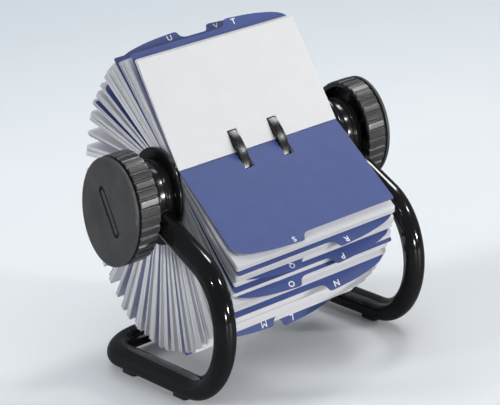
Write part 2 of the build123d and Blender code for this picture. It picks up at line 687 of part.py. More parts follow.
def fan_places():
    """[(kind, angle, u, v)] for every leaf, from the top round the back to the lower front."""
    rng = random.Random(FAN_SEED)
    leaves = fan_directions(rng)
    angles = [angle for angle, _ in leaves]
    # bisect for the extra spacing that brings the last leaf to its offset
    low, high = 0.0, 4.0
    for _ in range(60):
        middle = (low + high) / 2
        if offsets(angles, middle)[-1] > -FAN_OFFSET:
            low = middle
        else:
            high = middle
    # leaves slip a little out or in on the rings; a group mostly slips together
    places, group_slip, last = [], 0.0, None
    for (angle, kind), offset in zip(leaves, offsets(angles, (low + high) / 2)):
        if last is None or angle - last > OPENING_STEP:
            group_slip = rng.uniform(-1.0, 1.0) * interpolate(angle, GROUP_SLIP)
        last = angle
        slip = group_slip + rng.uniform(-0.3, 0.3)   # drawn for dividers too
        if kind != "C":
            slip = interpolate(angle, DIVIDER_SLIP)
        reach = leaf_reach(angle, offset, slip)
        (along_u, along_v), (square_u, square_v) = unit(angle), unit(angle - 90)
        u = reach * along_u + offset * square_u
        v = reach * along_v + offset * square_v
        places.append((kind, angle, u, v))
    return places


def pack(places):
    return Compound(children=[leaf(*place).solid() for place in places])


# three leaves in front of the top stack, then the divider on the lower front stack
save(leaf("C", 128.0, 19.6, 16.4), "flip_card")
save(leaf("C", 129.0, 18.05, 17.31), "second_card")
save(leaf("R", 130.0, 13.34, 21.90), "tab_divider")
save(leaf("L", 328.0, 19.9, 15.7), "front_divider")

PACKS = 8
fan = fan_places()
cards = [place for place in fan if place[0] == "C"]
for n in range(PACKS):
    start, end = len(cards) * n // PACKS, len(cards) * (n + 1) // PACKS
    save(pack(cards[start:end]), f"card_pack_{n + 1}")
save(pack([place for place in fan if place[0] != "C"]), "index_dividers")
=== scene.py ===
"""Looks of the rotary card file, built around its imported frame."""

import math
import random

import bpy
import numpy as np
from mathutils import Matrix, Vector


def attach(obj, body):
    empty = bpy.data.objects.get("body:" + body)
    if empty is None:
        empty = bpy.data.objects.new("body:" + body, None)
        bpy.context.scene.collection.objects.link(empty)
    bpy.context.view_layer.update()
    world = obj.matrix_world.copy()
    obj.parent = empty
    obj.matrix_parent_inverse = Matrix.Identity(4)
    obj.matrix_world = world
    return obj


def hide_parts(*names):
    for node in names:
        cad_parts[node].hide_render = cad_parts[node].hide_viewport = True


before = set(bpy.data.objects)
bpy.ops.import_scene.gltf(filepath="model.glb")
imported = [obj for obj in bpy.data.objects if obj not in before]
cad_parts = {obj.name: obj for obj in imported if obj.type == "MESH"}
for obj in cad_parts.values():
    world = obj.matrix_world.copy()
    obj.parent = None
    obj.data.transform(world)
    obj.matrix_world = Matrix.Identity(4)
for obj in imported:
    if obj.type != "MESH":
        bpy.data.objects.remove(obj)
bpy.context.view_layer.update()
MM = 0.001
AXIS_H = 96.0
CARD_W, CARD_H, CARD_T = 101.6, 66.7, 0.2
RING_X, RING_R = 12.8, 28.5
SLOT_W, SLOT_D, MOUTH_W, LIP_T = 6.0, 12.6, 4.2, 1.0
FLANGE_T = 1.5
GUIDE_H, TAB_TOP = 64.6, 69.6
TUBE_X, TUBE_R = 60.6, 6.0
RAIL_Z, FRONT_R, FRONT_Y, REAR_Y, REAR_R = 7.2, 34.5, -43.2, 45.5, 18.0

scene = bpy.context.scene
coll = scene.collection
scene.view_settings.view_transform = "Standard"
scene.view_settings.look = "None"


# ------------------------------------------------------------------ materials
class Mat:
    """Small helper that writes a node material."""

    def __init__(self, name):
        self.m = bpy.data.materials.new(name)
        self.m.use_nodes = True
        self.nt = self.m.node_tree
        self.bsdf = next(n for n in self.nt.nodes if n.type == "BSDF_PRINCIPLED")
        self.out = next(n for n in self.nt.nodes if n.type == "OUTPUT_MATERIAL")
        self.tc = self.node("ShaderNodeTexCoord")

    def node(self, kind, **kw):
        n = self.nt.nodes.new(kind)
        for k, v in kw.items():
            if k.startswith("in_"):
                n.inputs[k[3:].replace("_", " ")].default_value = v
            else:
                setattr(n, k, v)
        return n

    def link(self, a, b):
        self.nt.links.new(a, b)

    def set(self, **kw):
        for k, v in kw.items():
            self.bsdf.inputs[k.replace("_", " ")].default_value = v
        return self

    def noise(self, scale, detail=4.0, rough=0.6, stretch=None, distortion=0.0):
        n = self.node("ShaderNodeTexNoise")
        n.inputs["Scale"].default_value = scale
        n.inputs["Detail"].default_value = detail
        n.inputs["Roughness"].default_value = rough
        n.inputs["Distortion"].default_value = distortion
        if stretch:
            mp = self.node("ShaderNodeMapping")
            mp.inputs["Scale"].default_value = stretch
            self.link(self.tc.outputs["Object"], mp.inputs["Vector"])
            self.link(mp.outputs["Vector"], n.inputs["Vector"])
        else:
            self.link(self.tc.outputs["Object"], n.inputs["Vector"])
        return n.outputs["Fac"]

    def ramp(self, fac, stops):
        r = self.node("ShaderNodeValToRGB")
        e = r.color_ramp.elements
        while len(e) < len(stops):
            e.new(0.5)
        for el, (pos, col) in zip(e, stops):
            el.position = pos
            el.color = (*col, 1.0) if len(col) == 3 else col
        self.link(fac, r.inputs["Fac"])
        return r.outputs["Color"]

    def remap(self, fac, lo, hi, f0=0.0, f1=1.0):
        r = self.node("ShaderNodeMapRange")
        r.inputs["From Min"].default_value = f0
        r.inputs["From Max"].default_value = f1
        r.inputs["To Min"].default_value = lo
        r.inputs["To Max"].default_value = hi
        self.link(fac, r.inputs["Value"])
        return r.outputs["Result"]

    def mix(self, fac, a, b, mode="MIX"):
        n = self.node("ShaderNodeMix", data_type="RGBA", blend_type=mode)
        for sock, v in ((n.inputs["Factor"], fac), (n.inputs["A"], a), (n.inputs["B"], b)):
            pass
        fac_in = [s for s in n.inputs if s.name == "Factor" and s.type == "VALUE"][0]
        a_in = [s for s in n.inputs if s.name == "A" and s.type == "RGBA"][0]
        b_in = [s for s in n.inputs if s.name == "B" and s.type == "RGBA"][0]
        for sock, v in ((fac_in, fac), (a_in, a), (b_in, b)):
            if isinstance(v, (int, float)):
                sock.default_value = v
            elif isinstance(v, tuple):
                sock.default_value = (*v, 1.0) if len(v) == 3 else v
            else:
                self.link(v, sock)
        return [s for s in n.outputs if s.type == "RGBA"][0]

    def math(self, op, a, b=0.0):
        n = self.node("ShaderNodeMath", operation=op)
        for i, v in enumerate((a, b)):
            if isinstance(v, (int, float)):
                n.inputs[i].default_value = v
            else:
                self.link(v, n.inputs[i])
        return n.outputs[0]

    def bump(self, heights):
        """heights: [(socket, strength, distance in metres)], chained."""
        last = None
        for h, strength, dist in heights:
            b = self.node("ShaderNodeBump")
            b.inputs["Strength"].default_value = strength
            b.inputs["Distance"].default_value = dist
            self.link(h, b.inputs["Height"])
            if last:
                self.link(last, b.inputs["Normal"])
            last = b.outputs["Normal"]
        self.link(last, self.bsdf.inputs["Normal"])
        return self

    def to(self, sock, name):
        self.link(sock, self.bsdf.inputs[name])
        return self


def mat_enamel():
    m = Mat("gloss_black_enamel")
    big = m.noise(55, 3, 0.5)
    peel = m.noise(420, 2, 0.4)
    dust = m.noise(2600, 3, 0.7)
    scr = m.noise(900, 2, 0.6, stretch=(1.0, 0.08, 0.6), distortion=0.6)
    col = m.ramp(big, [(0.3, (0.0045, 0.0045, 0.005)), (0.75, (0.0075, 0.0075, 0.008))])
    specks = m.remap(dust, 0.0, 0.35, 0.72, 0.86)
    m.to(m.mix(specks, col, (0.09, 0.09, 0.095)), "Base Color")
    r = m.math("ADD", m.remap(big, 0.09, 0.15, 0.3, 0.7), m.remap(scr, 0.0, 0.10, 0.62, 0.8))
    m.to(r, "Roughness")
    m.bump([(peel, 0.05, 0.0004), (scr, 0.02, 0.0002)])
    m.set(Specular_IOR_Level=0.55, Coat_Weight=0.6, Coat_Roughness=0.06)
    return m.m


def mat_hub():
    m = Mat("gloss_black_moulding")
    flow = m.noise(38, 4, 0.55, stretch=(2.2, 1, 1), distortion=0.8)
    fine = m.noise(1500, 3, 0.6)
    m.to(m.ramp(flow, [(0.25, (0.009, 0.009, 0.0095)), (0.8, (0.015, 0.015, 0.016))]), "Base Color")
    m.to(m.math("ADD", m.remap(flow, 0.13, 0.2, 0.3, 0.7), m.remap(fine, 0.0, 0.08, 0.55, 0.8)), "Roughness")
    m.bump([(flow, 0.05, 0.0006), (fine, 0.03, 0.0001)])
    m.set(Specular_IOR_Level=0.55)
    return m.m


def mat_knob(name, grain=1.0, base=(0.034, 0.034, 0.035), hi=(0.056, 0.056, 0.058), rough=(0.46, 0.58)):
    m = Mat(name)
    cloud = m.noise(70, 4, 0.6)
    v = m.node("ShaderNodeTexVoronoi")
    v.inputs["Scale"].default_value = 2300
    m.link(m.tc.outputs["Object"], v.inputs["Vector"])
    fine = m.noise(3800, 2, 0.5)
    geo = m.node("ShaderNodeNewGeometry")
    worn = m.remap(geo.outputs["Pointiness"], 0.0, 1.0, 0.515, 0.56)
    scuff = m.noise(240, 5, 0.7, distortion=1.2)
    wear = m.math("MULTIPLY", worn, m.remap(scuff, 0.25, 1.0, 0.35, 0.65))
    col = m.ramp(cloud, [(0.3, base), (0.72, hi)])
    m.to(m.mix(wear, col, (0.13, 0.13, 0.135)), "Base Color")
    m.to(m.math("ADD", m.remap(cloud, *rough, 0.3, 0.7), m.math("MULTIPLY", wear, -0.12)), "Roughness")
    m.bump([(v.outputs["Distance"], 0.22 * grain, 0.00012), (fine, 0.25 * grain, 0.00006)])
    m.set(Specular_IOR_Level=0.5)
    return m.m


def mat_ring():
    m = Mat("ring_moulding")
    flow = m.noise(120, 3, 0.5, stretch=(3, 1, 1))
    fine = m.noise(2600, 3, 0.6)
    scr = m.noise(700, 2, 0.6, stretch=(6.0, 0.4, 0.4))
    m.to(m.ramp(flow, [(0.3, (0.008, 0.008, 0.0085)), (0.75, (0.014, 0.014, 0.015))]), "Base Color")
    m.to(m.math("ADD", m.remap(flow, 0.2, 0.28, 0.3, 0.7), m.remap(scr, 0.0, 0.16, 0.5, 0.8)), "Roughness")
    m.bump([(fine, 0.05, 0.0001), (scr, 0.06, 0.0001)])
    return m.m


def mat_paper():
    m = Mat("card_stock")
    at = m.node("ShaderNodeAttribute", attribute_name="leaf_tone")
    edge = m.node("ShaderNodeAttribute", attribute_name="leaf_edge")
    cloud = m.noise(90, 5, 0.6)
    fibre = m.noise(1700, 4, 0.7, stretch=(1.0, 0.35, 0.35), distortion=0.8)
    fleck = m.noise(5200, 2, 0.5)
    a = m.ramp(at.outputs["Fac"], [(0.0, (0.56, 0.565, 0.585)), (0.5, (0.74, 0.742, 0.76)), (1.0, (0.725, 0.725, 0.732))])
    b = m.mix(m.remap(cloud, 0.0, 0.10, 0.3, 0.7), a, (0.70, 0.70, 0.74), "MULTIPLY")
    c = m.mix(m.remap(fibre, 0.0, 0.07, 0.35, 0.65), b, (0.72, 0.71, 0.70), "MULTIPLY")
    c = m.mix(m.remap(fleck, 0.0, 0.10, 0.70, 0.80), c, (0.55, 0.53, 0.50))
    c = m.mix(m.math("MULTIPLY", m.remap(edge.outputs["Fac"], 0.0, 1.0, 0.85, 1.0), 0.14), c, (0.48, 0.48, 0.51))
    m.to(c, "Base Color")
    m.to(m.remap(fibre, 0.72, 0.86, 0.3, 0.7), "Roughness")
    m.bump([(fibre, 0.22, 0.00005), (cloud, 0.10, 0.0002)])
    m.set(Specular_IOR_Level=0.25, Sheen_Weight=0.03)
    return m.m


def mat_board():
    m = Mat("divider_board")
    edge = m.node("ShaderNodeAttribute", attribute_name="leaf_edge")
    at = m.node("ShaderNodeAttribute", attribute_name="leaf_tone")
    cloud = m.noise(60, 4, 0.6)
    fibre = m.noise(1500, 3, 0.65, stretch=(1.0, 0.4, 0.4))
    scuff = m.noise(210, 5, 0.75, distortion=1.4)
    a = m.ramp(cloud, [(0.3, (0.050, 0.078, 0.240)), (0.72, (0.068, 0.100, 0.290))])
    a = m.mix(m.remap(at.outputs["Fac"], 0.0, 0.30), a, (0.030, 0.046, 0.140))
    a = m.mix(m.remap(fibre, 0.0, 0.16, 0.35, 0.7), a, (0.085, 0.115, 0.285))
    a = m.mix(m.remap(scuff, 0.0, 0.20, 0.62, 0.78), a, (0.13, 0.16, 0.33))
    rim = m.remap(edge.outputs["Fac"], 0.0, 1.0, 0.88, 1.0)
    a = m.mix(m.math("MULTIPLY", rim, m.remap(scuff, 0.15, 0.50, 0.35, 0.65)), a, (0.20, 0.23, 0.40))
    m.to(a, "Base Color")
    m.to(m.math("ADD", m.remap(cloud, 0.44, 0.52, 0.3, 0.7), m.remap(scuff, 0.0, 0.10, 0.5, 0.75)), "Roughness")
    m.bump([(fibre, 0.16, 0.00005), (cloud, 0.06, 0.0003)])
    m.set(Specular_IOR_Level=0.24)
    return m.m


def mat_ink():
    m = Mat("tab_ink")
    n = m.noise(1900, 3, 0.6)
    m.to(m.ramp(n, [(0.3, (0.70, 0.71, 0.76)), (0.6, (0.86, 0.86, 0.90))]), "Base Color")
    m.to(m.remap(n, 0.55, 0.7, 0.3, 0.7), "Roughness")
    m.bump([(n, 0.1, 0.00003)])
    return m.m


def mat_steel():
    m = Mat("zinc_steel")
    n = m.noise(260, 4, 0.6)
    line = m.noise(1400, 2, 0.6, stretch=(0.15, 1, 1))
    m.to(m.ramp(n, [(0.3, (0.50, 0.50, 0.51)), (0.7, (0.66, 0.66, 0.65))]), "Base Color")
    m.to(m.remap(line, 0.24, 0.42, 0.3, 0.7), "Roughness")
    m.bump([(line, 0.15, 0.00005)])
    m.set(Metallic=1.0)
    return m.m


def mat_rubber():
    m = Mat("soft_rubber")
    n = m.noise(160, 4, 0.6)
    f = m.noise(2600, 3, 0.7)
    m.to(m.ramp(n, [(0.3, (0.014, 0.014, 0.014)), (0.7, (0.026, 0.026, 0.025))]), "Base Color")
    m.to(m.remap(f, 0.72, 0.9, 0.3, 0.7), "Roughness")
    m.bump([(f, 0.35, 0.0001)])
    return m.m


def mat_acetal():
    m = Mat("natural_acetal")
    n = m.noise(120, 4, 0.6)
    f = m.noise(1500, 3, 0.6)
    m.to(m.ramp(n, [(0.3, (0.66, 0.64, 0.58)), (0.7, (0.78, 0.76, 0.70))]), "Base Color")
    m.to(m.remap(f, 0.32, 0.45, 0.3, 0.7), "Roughness")
    m.bump([(f, 0.08, 0.0001)])
    return m.m


M = dict(enamel=mat_enamel(), hub=mat_hub(), knob=mat_knob("knob_grain", 0.7, (0.026, 0.026, 0.027), (0.046, 0.046, 0.048), (0.26, 0.36)),
         cap=mat_knob("cap_grain", 0.8, (0.036, 0.036, 0.037), (0.056, 0.056, 0.057)),
         # groove: a darker copy of the cap plastic, painted shade for the sunk channel round the knob face's raised
         # bar
         groove=mat_knob("cap_groove_painted_shade", 0.6, (0.010, 0.010, 0.010), (0.016, 0.016, 0.016)),
         ring=mat_ring(), paper=mat_paper(), board=mat_board(), ink=mat_ink(),
         steel=mat_steel(), rubber=mat_rubber(), acetal=mat_acetal())


# --------------------------------------------------------------- mesh helpers
def outward(verts, faces):
    """The faces again, with every closed shell turned to face outwards."""
    P = np.asarray(verts, float)
    P = P - P.mean(0)
    root = list(range(len(P)))

    def find(i):
        while root[i] != i:
            root[i] = root[root[i]]
            i = root[i]
        return i

    for f in faces:
        a = find(f[0])
        for j in f[1:]:
            b = find(j)
            if a != b:
                root[b] = a
    shell = [find(f[0]) for f in faces]
    tris, own = [], []
    for f, s in zip(faces, shell):
        for i in range(1, len(f) - 1):
            tris.append((f[0], f[i], f[i + 1]))
            own.append(s)
    T = P[np.asarray(tris)]
    vol = np.bincount(own, np.einsum("ij,ij->i", T[:, 0], np.cross(T[:, 1], T[:, 2])), minlength=len(P))
    return [tuple(reversed(f)) if vol[s] < 0 else tuple(f) for f, s in zip(faces, shell)]


def make_object(name, verts_mm, faces, mats, body, face_mat=None, sharp=math.radians(32),
                smooth=True, attrs=None):
    me = bpy.data.meshes.new(name)
    me.from_pydata((np.asarray(verts_mm, float) * MM).tolist(), [], outward(verts_mm, faces))
    for mt in mats:
        me.materials.append(mt)
    if face_mat is not None:
        me.polygons.foreach_set("material_index", np.asarray(face_mat, np.int32))
    if attrs:
        for k, v in attrs.items():
            at = me.attributes.new(k, "FLOAT", "POINT")
            at.data.foreach_set("value", np.asarray(v, np.float32))
    if smooth:
        me.shade_smooth()
        me.set_sharp_from_angle(angle=sharp)
    me.validate()
    ob = bpy.data.objects.new(name, me)
    coll.objects.link(ob)
    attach(ob, body)
    return ob


def grid_faces(nu, nv, close_u=False, close_v=False, flip=False, base=0):
    """Quads over an nu x nv grid of vertices, index = i * nv + j."""
    f = []
    for i in range(nu if close_u else nu - 1):
        for j in range(nv if close_v else nv - 1):
            a, b = base + i * nv + j, base + ((i + 1) % nu) * nv + j
            c, d = base + ((i + 1) % nu) * nv + (j + 1) % nv, base + i * nv + (j + 1) % nv
            f.append((a, d, c, b) if flip else (a, b, c, d))
    return f


def lathe(profile, segs, side=1, mod=None, phase=0.0):
    """Closed profile [(x, r)] turned about the rotor axis; side -1 mirrors it in X.
    mod(x, r, angle, k) may change the radius at profile point k."""
    verts = []
    for i in range(segs):
        a = 2 * math.pi * i / segs + phase
        for k, (x, r) in enumerate(profile):
            rr = mod(x, r, a, k) if mod else r
            verts.append((side * x, -rr * math.cos(a), AXIS_H + rr * math.sin(a)))
    return verts, grid_faces(segs, len(profile), True, True, flip=(side < 0))


def arc(cx, cr, rad, a0, a1, n):
    """Points on a profile arc; angles in degrees, 0 along +x, 90 along +r."""
    return [(cx + rad * math.cos(math.radians(a0 + (a1 - a0) * i / n)),
             cr + rad * math.sin(math.radians(a0 + (a1 - a0) * i / n))) for i in range(n + 1)]


# ----------------------------------------------------------------- stand tube
def tube_path():
    dy, dz = FRONT_Y, RAIL_Z + FRONT_R - AXIS_H
    reach = math.hypot(dy, dz)
    phi = math.atan2(-dz, -dy) + math.acos(FRONT_R / reach)
    cz = RAIL_Z + FRONT_R
    touch = (FRONT_Y + FRONT_R * math.cos(phi), cz + FRONT_R * math.sin(phi))
    ln = math.hypot(touch[0], touch[1] - AXIS_H)
    d = (touch[0] / ln, (touch[1] - AXIS_H) / ln)
    pts = []
    n = 14
    for i in range(n):
        s = 9.0 + (ln - 9.0) * i / n
        pts.append((TUBE_X, d[0] * s, AXIS_H + d[1] * s, 0.0))
    n = 56
    for i in range(n + 1):
        a = phi + (1.5 * math.pi - phi) * i / n
        pts.append((TUBE_X, FRONT_Y + FRONT_R * math.cos(a), cz + FRONT_R * math.sin(a), 1.0))
    n = 20
    for i in range(1, n):
        pts.append((TUBE_X, FRONT_Y + (REAR_Y - REAR_R - FRONT_Y) * i / n, RAIL_Z, 0.0))
    n = 30
    for i in range(n + 1):
        a = math.pi / 2 * i / n
        pts.append((TUBE_X - REAR_R + REAR_R * math.cos(a), REAR_Y - REAR_R + REAR_R * math.sin(a), RAIL_Z, 1.0))
    n = 16
    for i in range(1, n + 1):
        pts.append(((TUBE_X - REAR_R) * (1 - i / n), REAR_Y, RAIL_Z, 0.0))
    left = [(-x, y, z, b) for x, y, z, b in reversed(pts[:-1])]
    return np.array(pts + left, float), d, phi


def build_tube():
    path, d, phi = tube_path()
    p, bend = path[:, :3], path[:, 3]
    k = np.ones(5) / 5
    bend = np.convolve(np.pad(bend, 2, mode="edge"), k, mode="valid")
    t = np.gradient(p, axis=0)
    t /= np.linalg.norm(t, axis=1)[:, None]
    # carried frame
    ref = np.array([1.0, 0, 0])
    us, vs = [], []
    for i in range(len(p)):
        u = ref - t[i] * (ref @ t[i])
        u /= np.linalg.norm(u)
        us.append(u)
        vs.append(np.cross(t[i], u))
        ref = u
    segs = 48
    rows = []
    for i in range(len(p)):
        r = TUBE_R * (1 - 0.012 * bend[i])
        ring = []
        for s in range(segs):
            a = 2 * math.pi * s / segs
            ring.append(p[i] + r * (us[i] * math.cos(a) + vs[i] * math.sin(a)))
        rows.append(ring)
    verts = np.array(rows).reshape(-1, 3)
    n = len(rows)
    faces = grid_faces(n, segs, False, True)
    # the wall's thickness at both open ends
    def end(i, inward, flip):
        nonlocal verts
        base = len(verts)
        inner = []
        for depth, rad in ((0.0, TUBE_R - 1.2), (8.0, TUBE_R - 1.2)):
            for s in range(segs):
                a = 2 * math.pi * s / segs
                inner.append(p[i] + inward * depth + rad * (us[i] * math.cos(a) + vs[i] * math.sin(a)))
        verts = np.vstack([verts, inner])
        out = []
        for s in range(segs):
            s2 = (s + 1) % segs
            o = i * segs
            q = [(o + s, o + s2, base + s2, base + s),
                 (base + s, base + s2, base + segs + s2, base + segs + s)]
            out += [tuple(reversed(x)) for x in q] if flip else q
        cap = [base + segs + s for s in range(segs)]
        out.append(tuple(cap) if not flip else tuple(reversed(cap)))
        return out
    faces += end(0, t[0], False)
    faces += end(n - 1, -t[-1], True)
    ob = make_object("stand_tube", verts, faces, [M["enamel"]], "stand", sharp=math.radians(45))
    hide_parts("frame_tube")
    return d


ARM = build_tube()


# ----------------------------------------------------------------------- hubs
def hub_profile():
    """Closed profile of the housing shell: three rounded beads, rounded shoulder."""
    R = 20.5
    pts = [(54.02, R - 0.5)]
    pts += arc(54.5, R - 0.45, 0.45, 180, 90, 4)
    for g in (58.0, 63.6):
        pts += [(g - 1.5, R)]
        pts += [(g - 0.9 + 0.0, R - 0.06), (g - 0.55, R - 0.38), (g - 0.2, R - 0.66), (g + 0.2, R - 0.66),
                (g + 0.55, R - 0.38), (g + 0.9, R - 0.06)]
        pts += [(g + 1.5, R)]
    pts += arc(69.2 - 2.2, R - 2.2, 2.2, 90, 0, 8)
    pts += [(69.2, 12.0), (69.2, 7.2), (69.0, 7.0), (67.7, 7.0), (67.6, 7.2), (67.6, 17.5), (66.6, 18.4), (54.1, 18.5)]
    return pts


def tube_dir_ring(dist, rad, side, n, flare=0.0):
    """Ring of points round the stand's arm."""
    d = Vector((0, ARM[0], ARM[1]))
    u = Vector((1, 0, 0))
    v = d.cross(u)
    c = Vector((side * TUBE_X, ARM[0] * dist, AXIS_H + ARM[1] * dist))
    return [tuple(c + (u * math.cos(2 * math.pi * i / n) + v * math.sin(2 * math.pi * i / n)) * rad) for i in range(n)]


def build_hub(side, word):
    v, f = lathe(hub_profile(), 128, side)
    ob = make_object(word + "_hub_shell", v, f, [M["hub"]], "stand", sharp=math.radians(50))
    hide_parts(word + "_hub_housing")
    # socket collar where the arm leaves the hub: a closed turned ring round the arm
    n = 56
    prof = [(10.0, 6.05), (10.0, 7.35), (20.3, 7.35), (20.9, 7.3), (21.3, 7.1), (21.5, 6.8), (21.55, 6.45), (21.5, 6.12), (21.3, 6.03)]
    verts = []
    for dist, rad in prof:
        verts += tube_dir_ring(dist, rad, side, n)
    faces = grid_faces(len(prof), n, True, True, flip=False)
    col = make_object(word + "_arm_collar", verts, faces, [M["hub"]], "stand", sharp=math.radians(50))
    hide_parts(word + "_hub_housing")
    # the cover flange facing the cards
    pr = [(51.8, 5.3)]
    pr += [(51.8, 18.0), (51.8, 25.0)] + arc(52.5, 25.3, 0.7, 180, 90, 5) + arc(52.9, 24.9, 1.1, 90, 0, 6)
    pr += [(54.0, 22.5), (54.0, 20.6), (54.0, 5.3)]
    v, f = lathe(pr, 128, side)
    cov = make_object(word + "_hub_flange", v, f, [M["hub"]], "stand", sharp=math.radians(40))
    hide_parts(word + "_hub_cover")
    return ob


build_hub(1, "right")
build_hub(-1, "left")


# ---------------------------------------------------------------------- knobs
KNOB_R, GROOVES = 29.0, 36


def build_knob(side, word):
    prof, kinds = [], []

    def add(pts, kind):
        for p in pts:
            prof.append(p)
            kinds.append(kind)

    add([(67.62, 26.6)], "in")
    add(arc(68.05, 28.45, 0.5, 205, 95, 4), "rib_end")
    add([(68.6, 29.0), (69.6, 29.0), (72.5, 29.0), (75.5, 29.0), (77.4, 29.0), (78.1, 29.0)], "rib")
    add(arc(78.3, 28.5, 0.5, 85, 0, 4), "rib_end")
    add([(78.8, 27.5)], "in")
    add([(78.95, 26.9), (79.2, 26.72), (79.6, 26.7), (80.0, 26.7), (80.18, 26.7)], "in")
    add([(80.18, 22.3), (79.25, 22.2), (79.2, 22.0), (79.2, 3.6), (79.0, 3.4), (77.3, 3.4), (77.2, 3.2), (76.2, 3.06), (71.3, 3.06),
         (71.2, 3.3), (71.2, 6.8), (71.4, 7.0), (76.3, 7.0), (76.6, 7.4), (76.6, 25.4)], "in")
    add(arc(76.1, 25.5, 0.5, 0, 90, 3), "in")
    add([(74.0, 26.0), (70.0, 26.0), (68.2, 26.0)], "in")
    add(arc(68.1, 26.45, 0.45, 270, 200, 3), "in")

    per = 16
    pitch = 2 * math.pi / GROOVES

    def mod(x, r, a, k):
        if kinds[k] == "in":
            return r
        # distance round the rim to the nearest groove's middle, in mm
        off = (a / pitch) % 1.0
        s = min(off, 1 - off) * pitch * KNOB_R
        if s > 0.95:
            # no crown on the ribs: this term is scaled to zero
            depth = 0.10 * ((s - 0.95) / 1.6) ** 2 * 0.0
        else:
            depth = 0.95 * max(0.0, math.cos(math.pi / 2 * s / 0.95)) ** 0.7
        return r - depth * (1.0 if kinds[k] == "rib" else 0.95)

    # uneven angular steps: dense at the grooves
    steps = [0.0, 0.25, 0.5, 0.75, 0.92, 1.05, 1.5, 2.0, 2.53]
    half = pitch * KNOB_R / 2
    loc = [-x for x in reversed(steps[1:]) if x < half - 0.02] + [x for x in steps if x < half - 0.02] + [half]
    verts, nang = [], 0
    for g in range(GROOVES):
        for s in loc:
            a = g * pitch + s / KNOB_R
            nang += 1
            for k, (x, r) in enumerate(prof):
                rr = mod(x, r, a, k)
                verts.append((side * x, -rr * math.cos(a), AXIS_H + rr * math.sin(a)))
    faces = grid_faces(nang, len(prof), True, True, flip=(side < 0))
    # stiffening ribs inside the cup
    for i in range(6):
        a = math.radians(60 * i + 30)
        ca, sa = math.cos(a), math.sin(a)
        ring = []
        for rr, x0 in ((6.8, 71.0), (10.0, 71.2), (18.0, 73.6), (26.2, 74.2)):
            for w in (-0.7, 0.7):
                for x in (x0, 76.8):
                    u, vv = rr * ca - w * sa, rr * sa + w * ca
                    ring.append((side * x, -u, AXIS_H + vv))
        b = len(verts)
        verts += ring
        m = 4
        fs = []
        for j in range(m - 1):
            o, p = b + 4 * j, b + 4 * (j + 1)
            fs += [(o, p, p + 1, o + 1), (o + 1, p + 1, p + 3, o + 3), (o + 3, p + 3, p + 2, o + 2), (o + 2, p + 2, p, o)]
        fs += [(b, b + 1, b + 3, b + 2), (b + 4 * (m - 1), b + 4 * (m - 1) + 2, b + 4 * (m - 1) + 3, b + 4 * (m - 1) + 1)]
        faces += [tuple(reversed(x)) for x in fs] if side > 0 else fs
    ob = make_object(word + "_ribbed_knob", verts, faces, [M["knob"]], "rotor", sharp=math.radians(38))
    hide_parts(word + "_knob")


def build_cap(side, word):
    """Face disc with a sunk bar; a polar grid whose height follows the bar's outline."""
    R, X1, X0 = 28.7, 82.0, 80.2
    ang = math.radians(-54.0)
    ca, sa = math.cos(ang), math.sin(ang)

    def face_x(u, v):
        # distance to the sunk bar's outline (a rounded slot), negative inside
        s, w = u * ca + v * sa, -u * sa + v * ca
        L, W = 29.0 / 2 - 2.7, 2.85
        d = math.hypot(max(abs(s) - L, 0.0), w) - W
        x = X1
        r = math.hypot(u, v)
        x += 0.0 if r > 26 else 0.10 * (1 - (r / 26.0) ** 2) - 0.10
        if d < 0.35:
            t = min(max((0.35 - d) / 0.5, 0.0), 1.0)
            x -= 1.05 * (t * t * (3 - 2 * t))
        L2, W2 = 26.4 / 2 - 1.6, 1.3
        d2 = math.hypot(max(abs(s) - L2, 0.0), w) - W2
        if d2 < 0.2:
            t = min(max((0.2 - d2) / 0.4, 0.0), 1.0)
            x += 0.85 * (t * t * (3 - 2 * t))
        return x

    # a dense polar grid over the face
    verts, faces = [], []
    segs = 192
    radii = [0.0] + list(np.linspace(0.35, 17.5, 50)) + [18.5, 20.0, 22.0, 24.5, 26.5, 27.6]
    rim = [(X1 - 0.02, 28.1), (X1 - 0.12, 28.42), (X1 - 0.32, 28.62), (X1 - 0.6, 28.7), (X1 - 1.1, 28.7), (X0 + 0.35, 28.7),
           (X0 + 0.1, 28.6), (X0, 28.35), (X0, 26.8), (X0, 22.0), (X0 - 1.0, 21.95), (X0 - 1.0, 20.45), (X0, 20.4)]
    verts.append((side * face_x(0, 0), 0.0, AXIS_H))
    rows = [r for r in radii[1:]]
    for r in rows:
        for i in range(segs):
            a = 2 * math.pi * i / segs
            u, v = r * math.cos(a), r * math.sin(a)
            verts.append((side * face_x(u, v), -u, AXIS_H + v))
    for x, r in rim:
        for i in range(segs):
            a = 2 * math.pi * i / segs
            verts.append((side * x, -r * math.cos(a), AXIS_H + r * math.sin(a)))
    nrow = len(rows) + len(rim)
    for i in range(segs):
        faces.append((0, 1 + i, 1 + (i + 1) % segs))
    for j in range(nrow - 1):
        for i in range(segs):
            a, b = 1 + j * segs + i, 1 + j * segs + (i + 1) % segs
            faces.append((a, a + segs, b + segs, b))
    verts.append((side * X0, 0.0, AXIS_H))
    last = 1 + (nrow - 1) * segs
    for i in range(segs):
        faces.append((last + i, len(verts) - 1, last + (i + 1) % segs))
    if side < 0:
        faces = [tuple(reversed(x)) for x in faces]
    V = np.asarray(verts)
    # faces in the sunk channel round the raised bar take the darker copy of the cap plastic: painted shade in the
    # recess
    groove_shade_faces = []
    for f in faces:
        c = V[list(f)].mean(0)
        u, v = -c[1], c[2] - AXIS_H
        s, w = u * ca + v * sa, -u * sa + v * ca
        d = math.hypot(max(abs(s) - (29.0 / 2 - 2.7), 0.0), w) - 2.85
        d2 = math.hypot(max(abs(s) - (26.4 / 2 - 1.6), 0.0), w) - 1.3
        groove_shade_faces.append(1 if d < 0.2 and d2 > 0.0 and abs(c[0]) > X1 - 1.5 and math.hypot(u, v) < 20 else 0)
    ob = make_object(word + "_knob_face", verts, faces, [M["cap"], M["groove"]], "rotor",
                     face_mat=groove_shade_faces, sharp=math.radians(40))
    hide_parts(word + "_knob_cap")


for side, word in ((1, "right"), (-1, "left")):
    build_knob(side, word)
    build_cap(side, word)


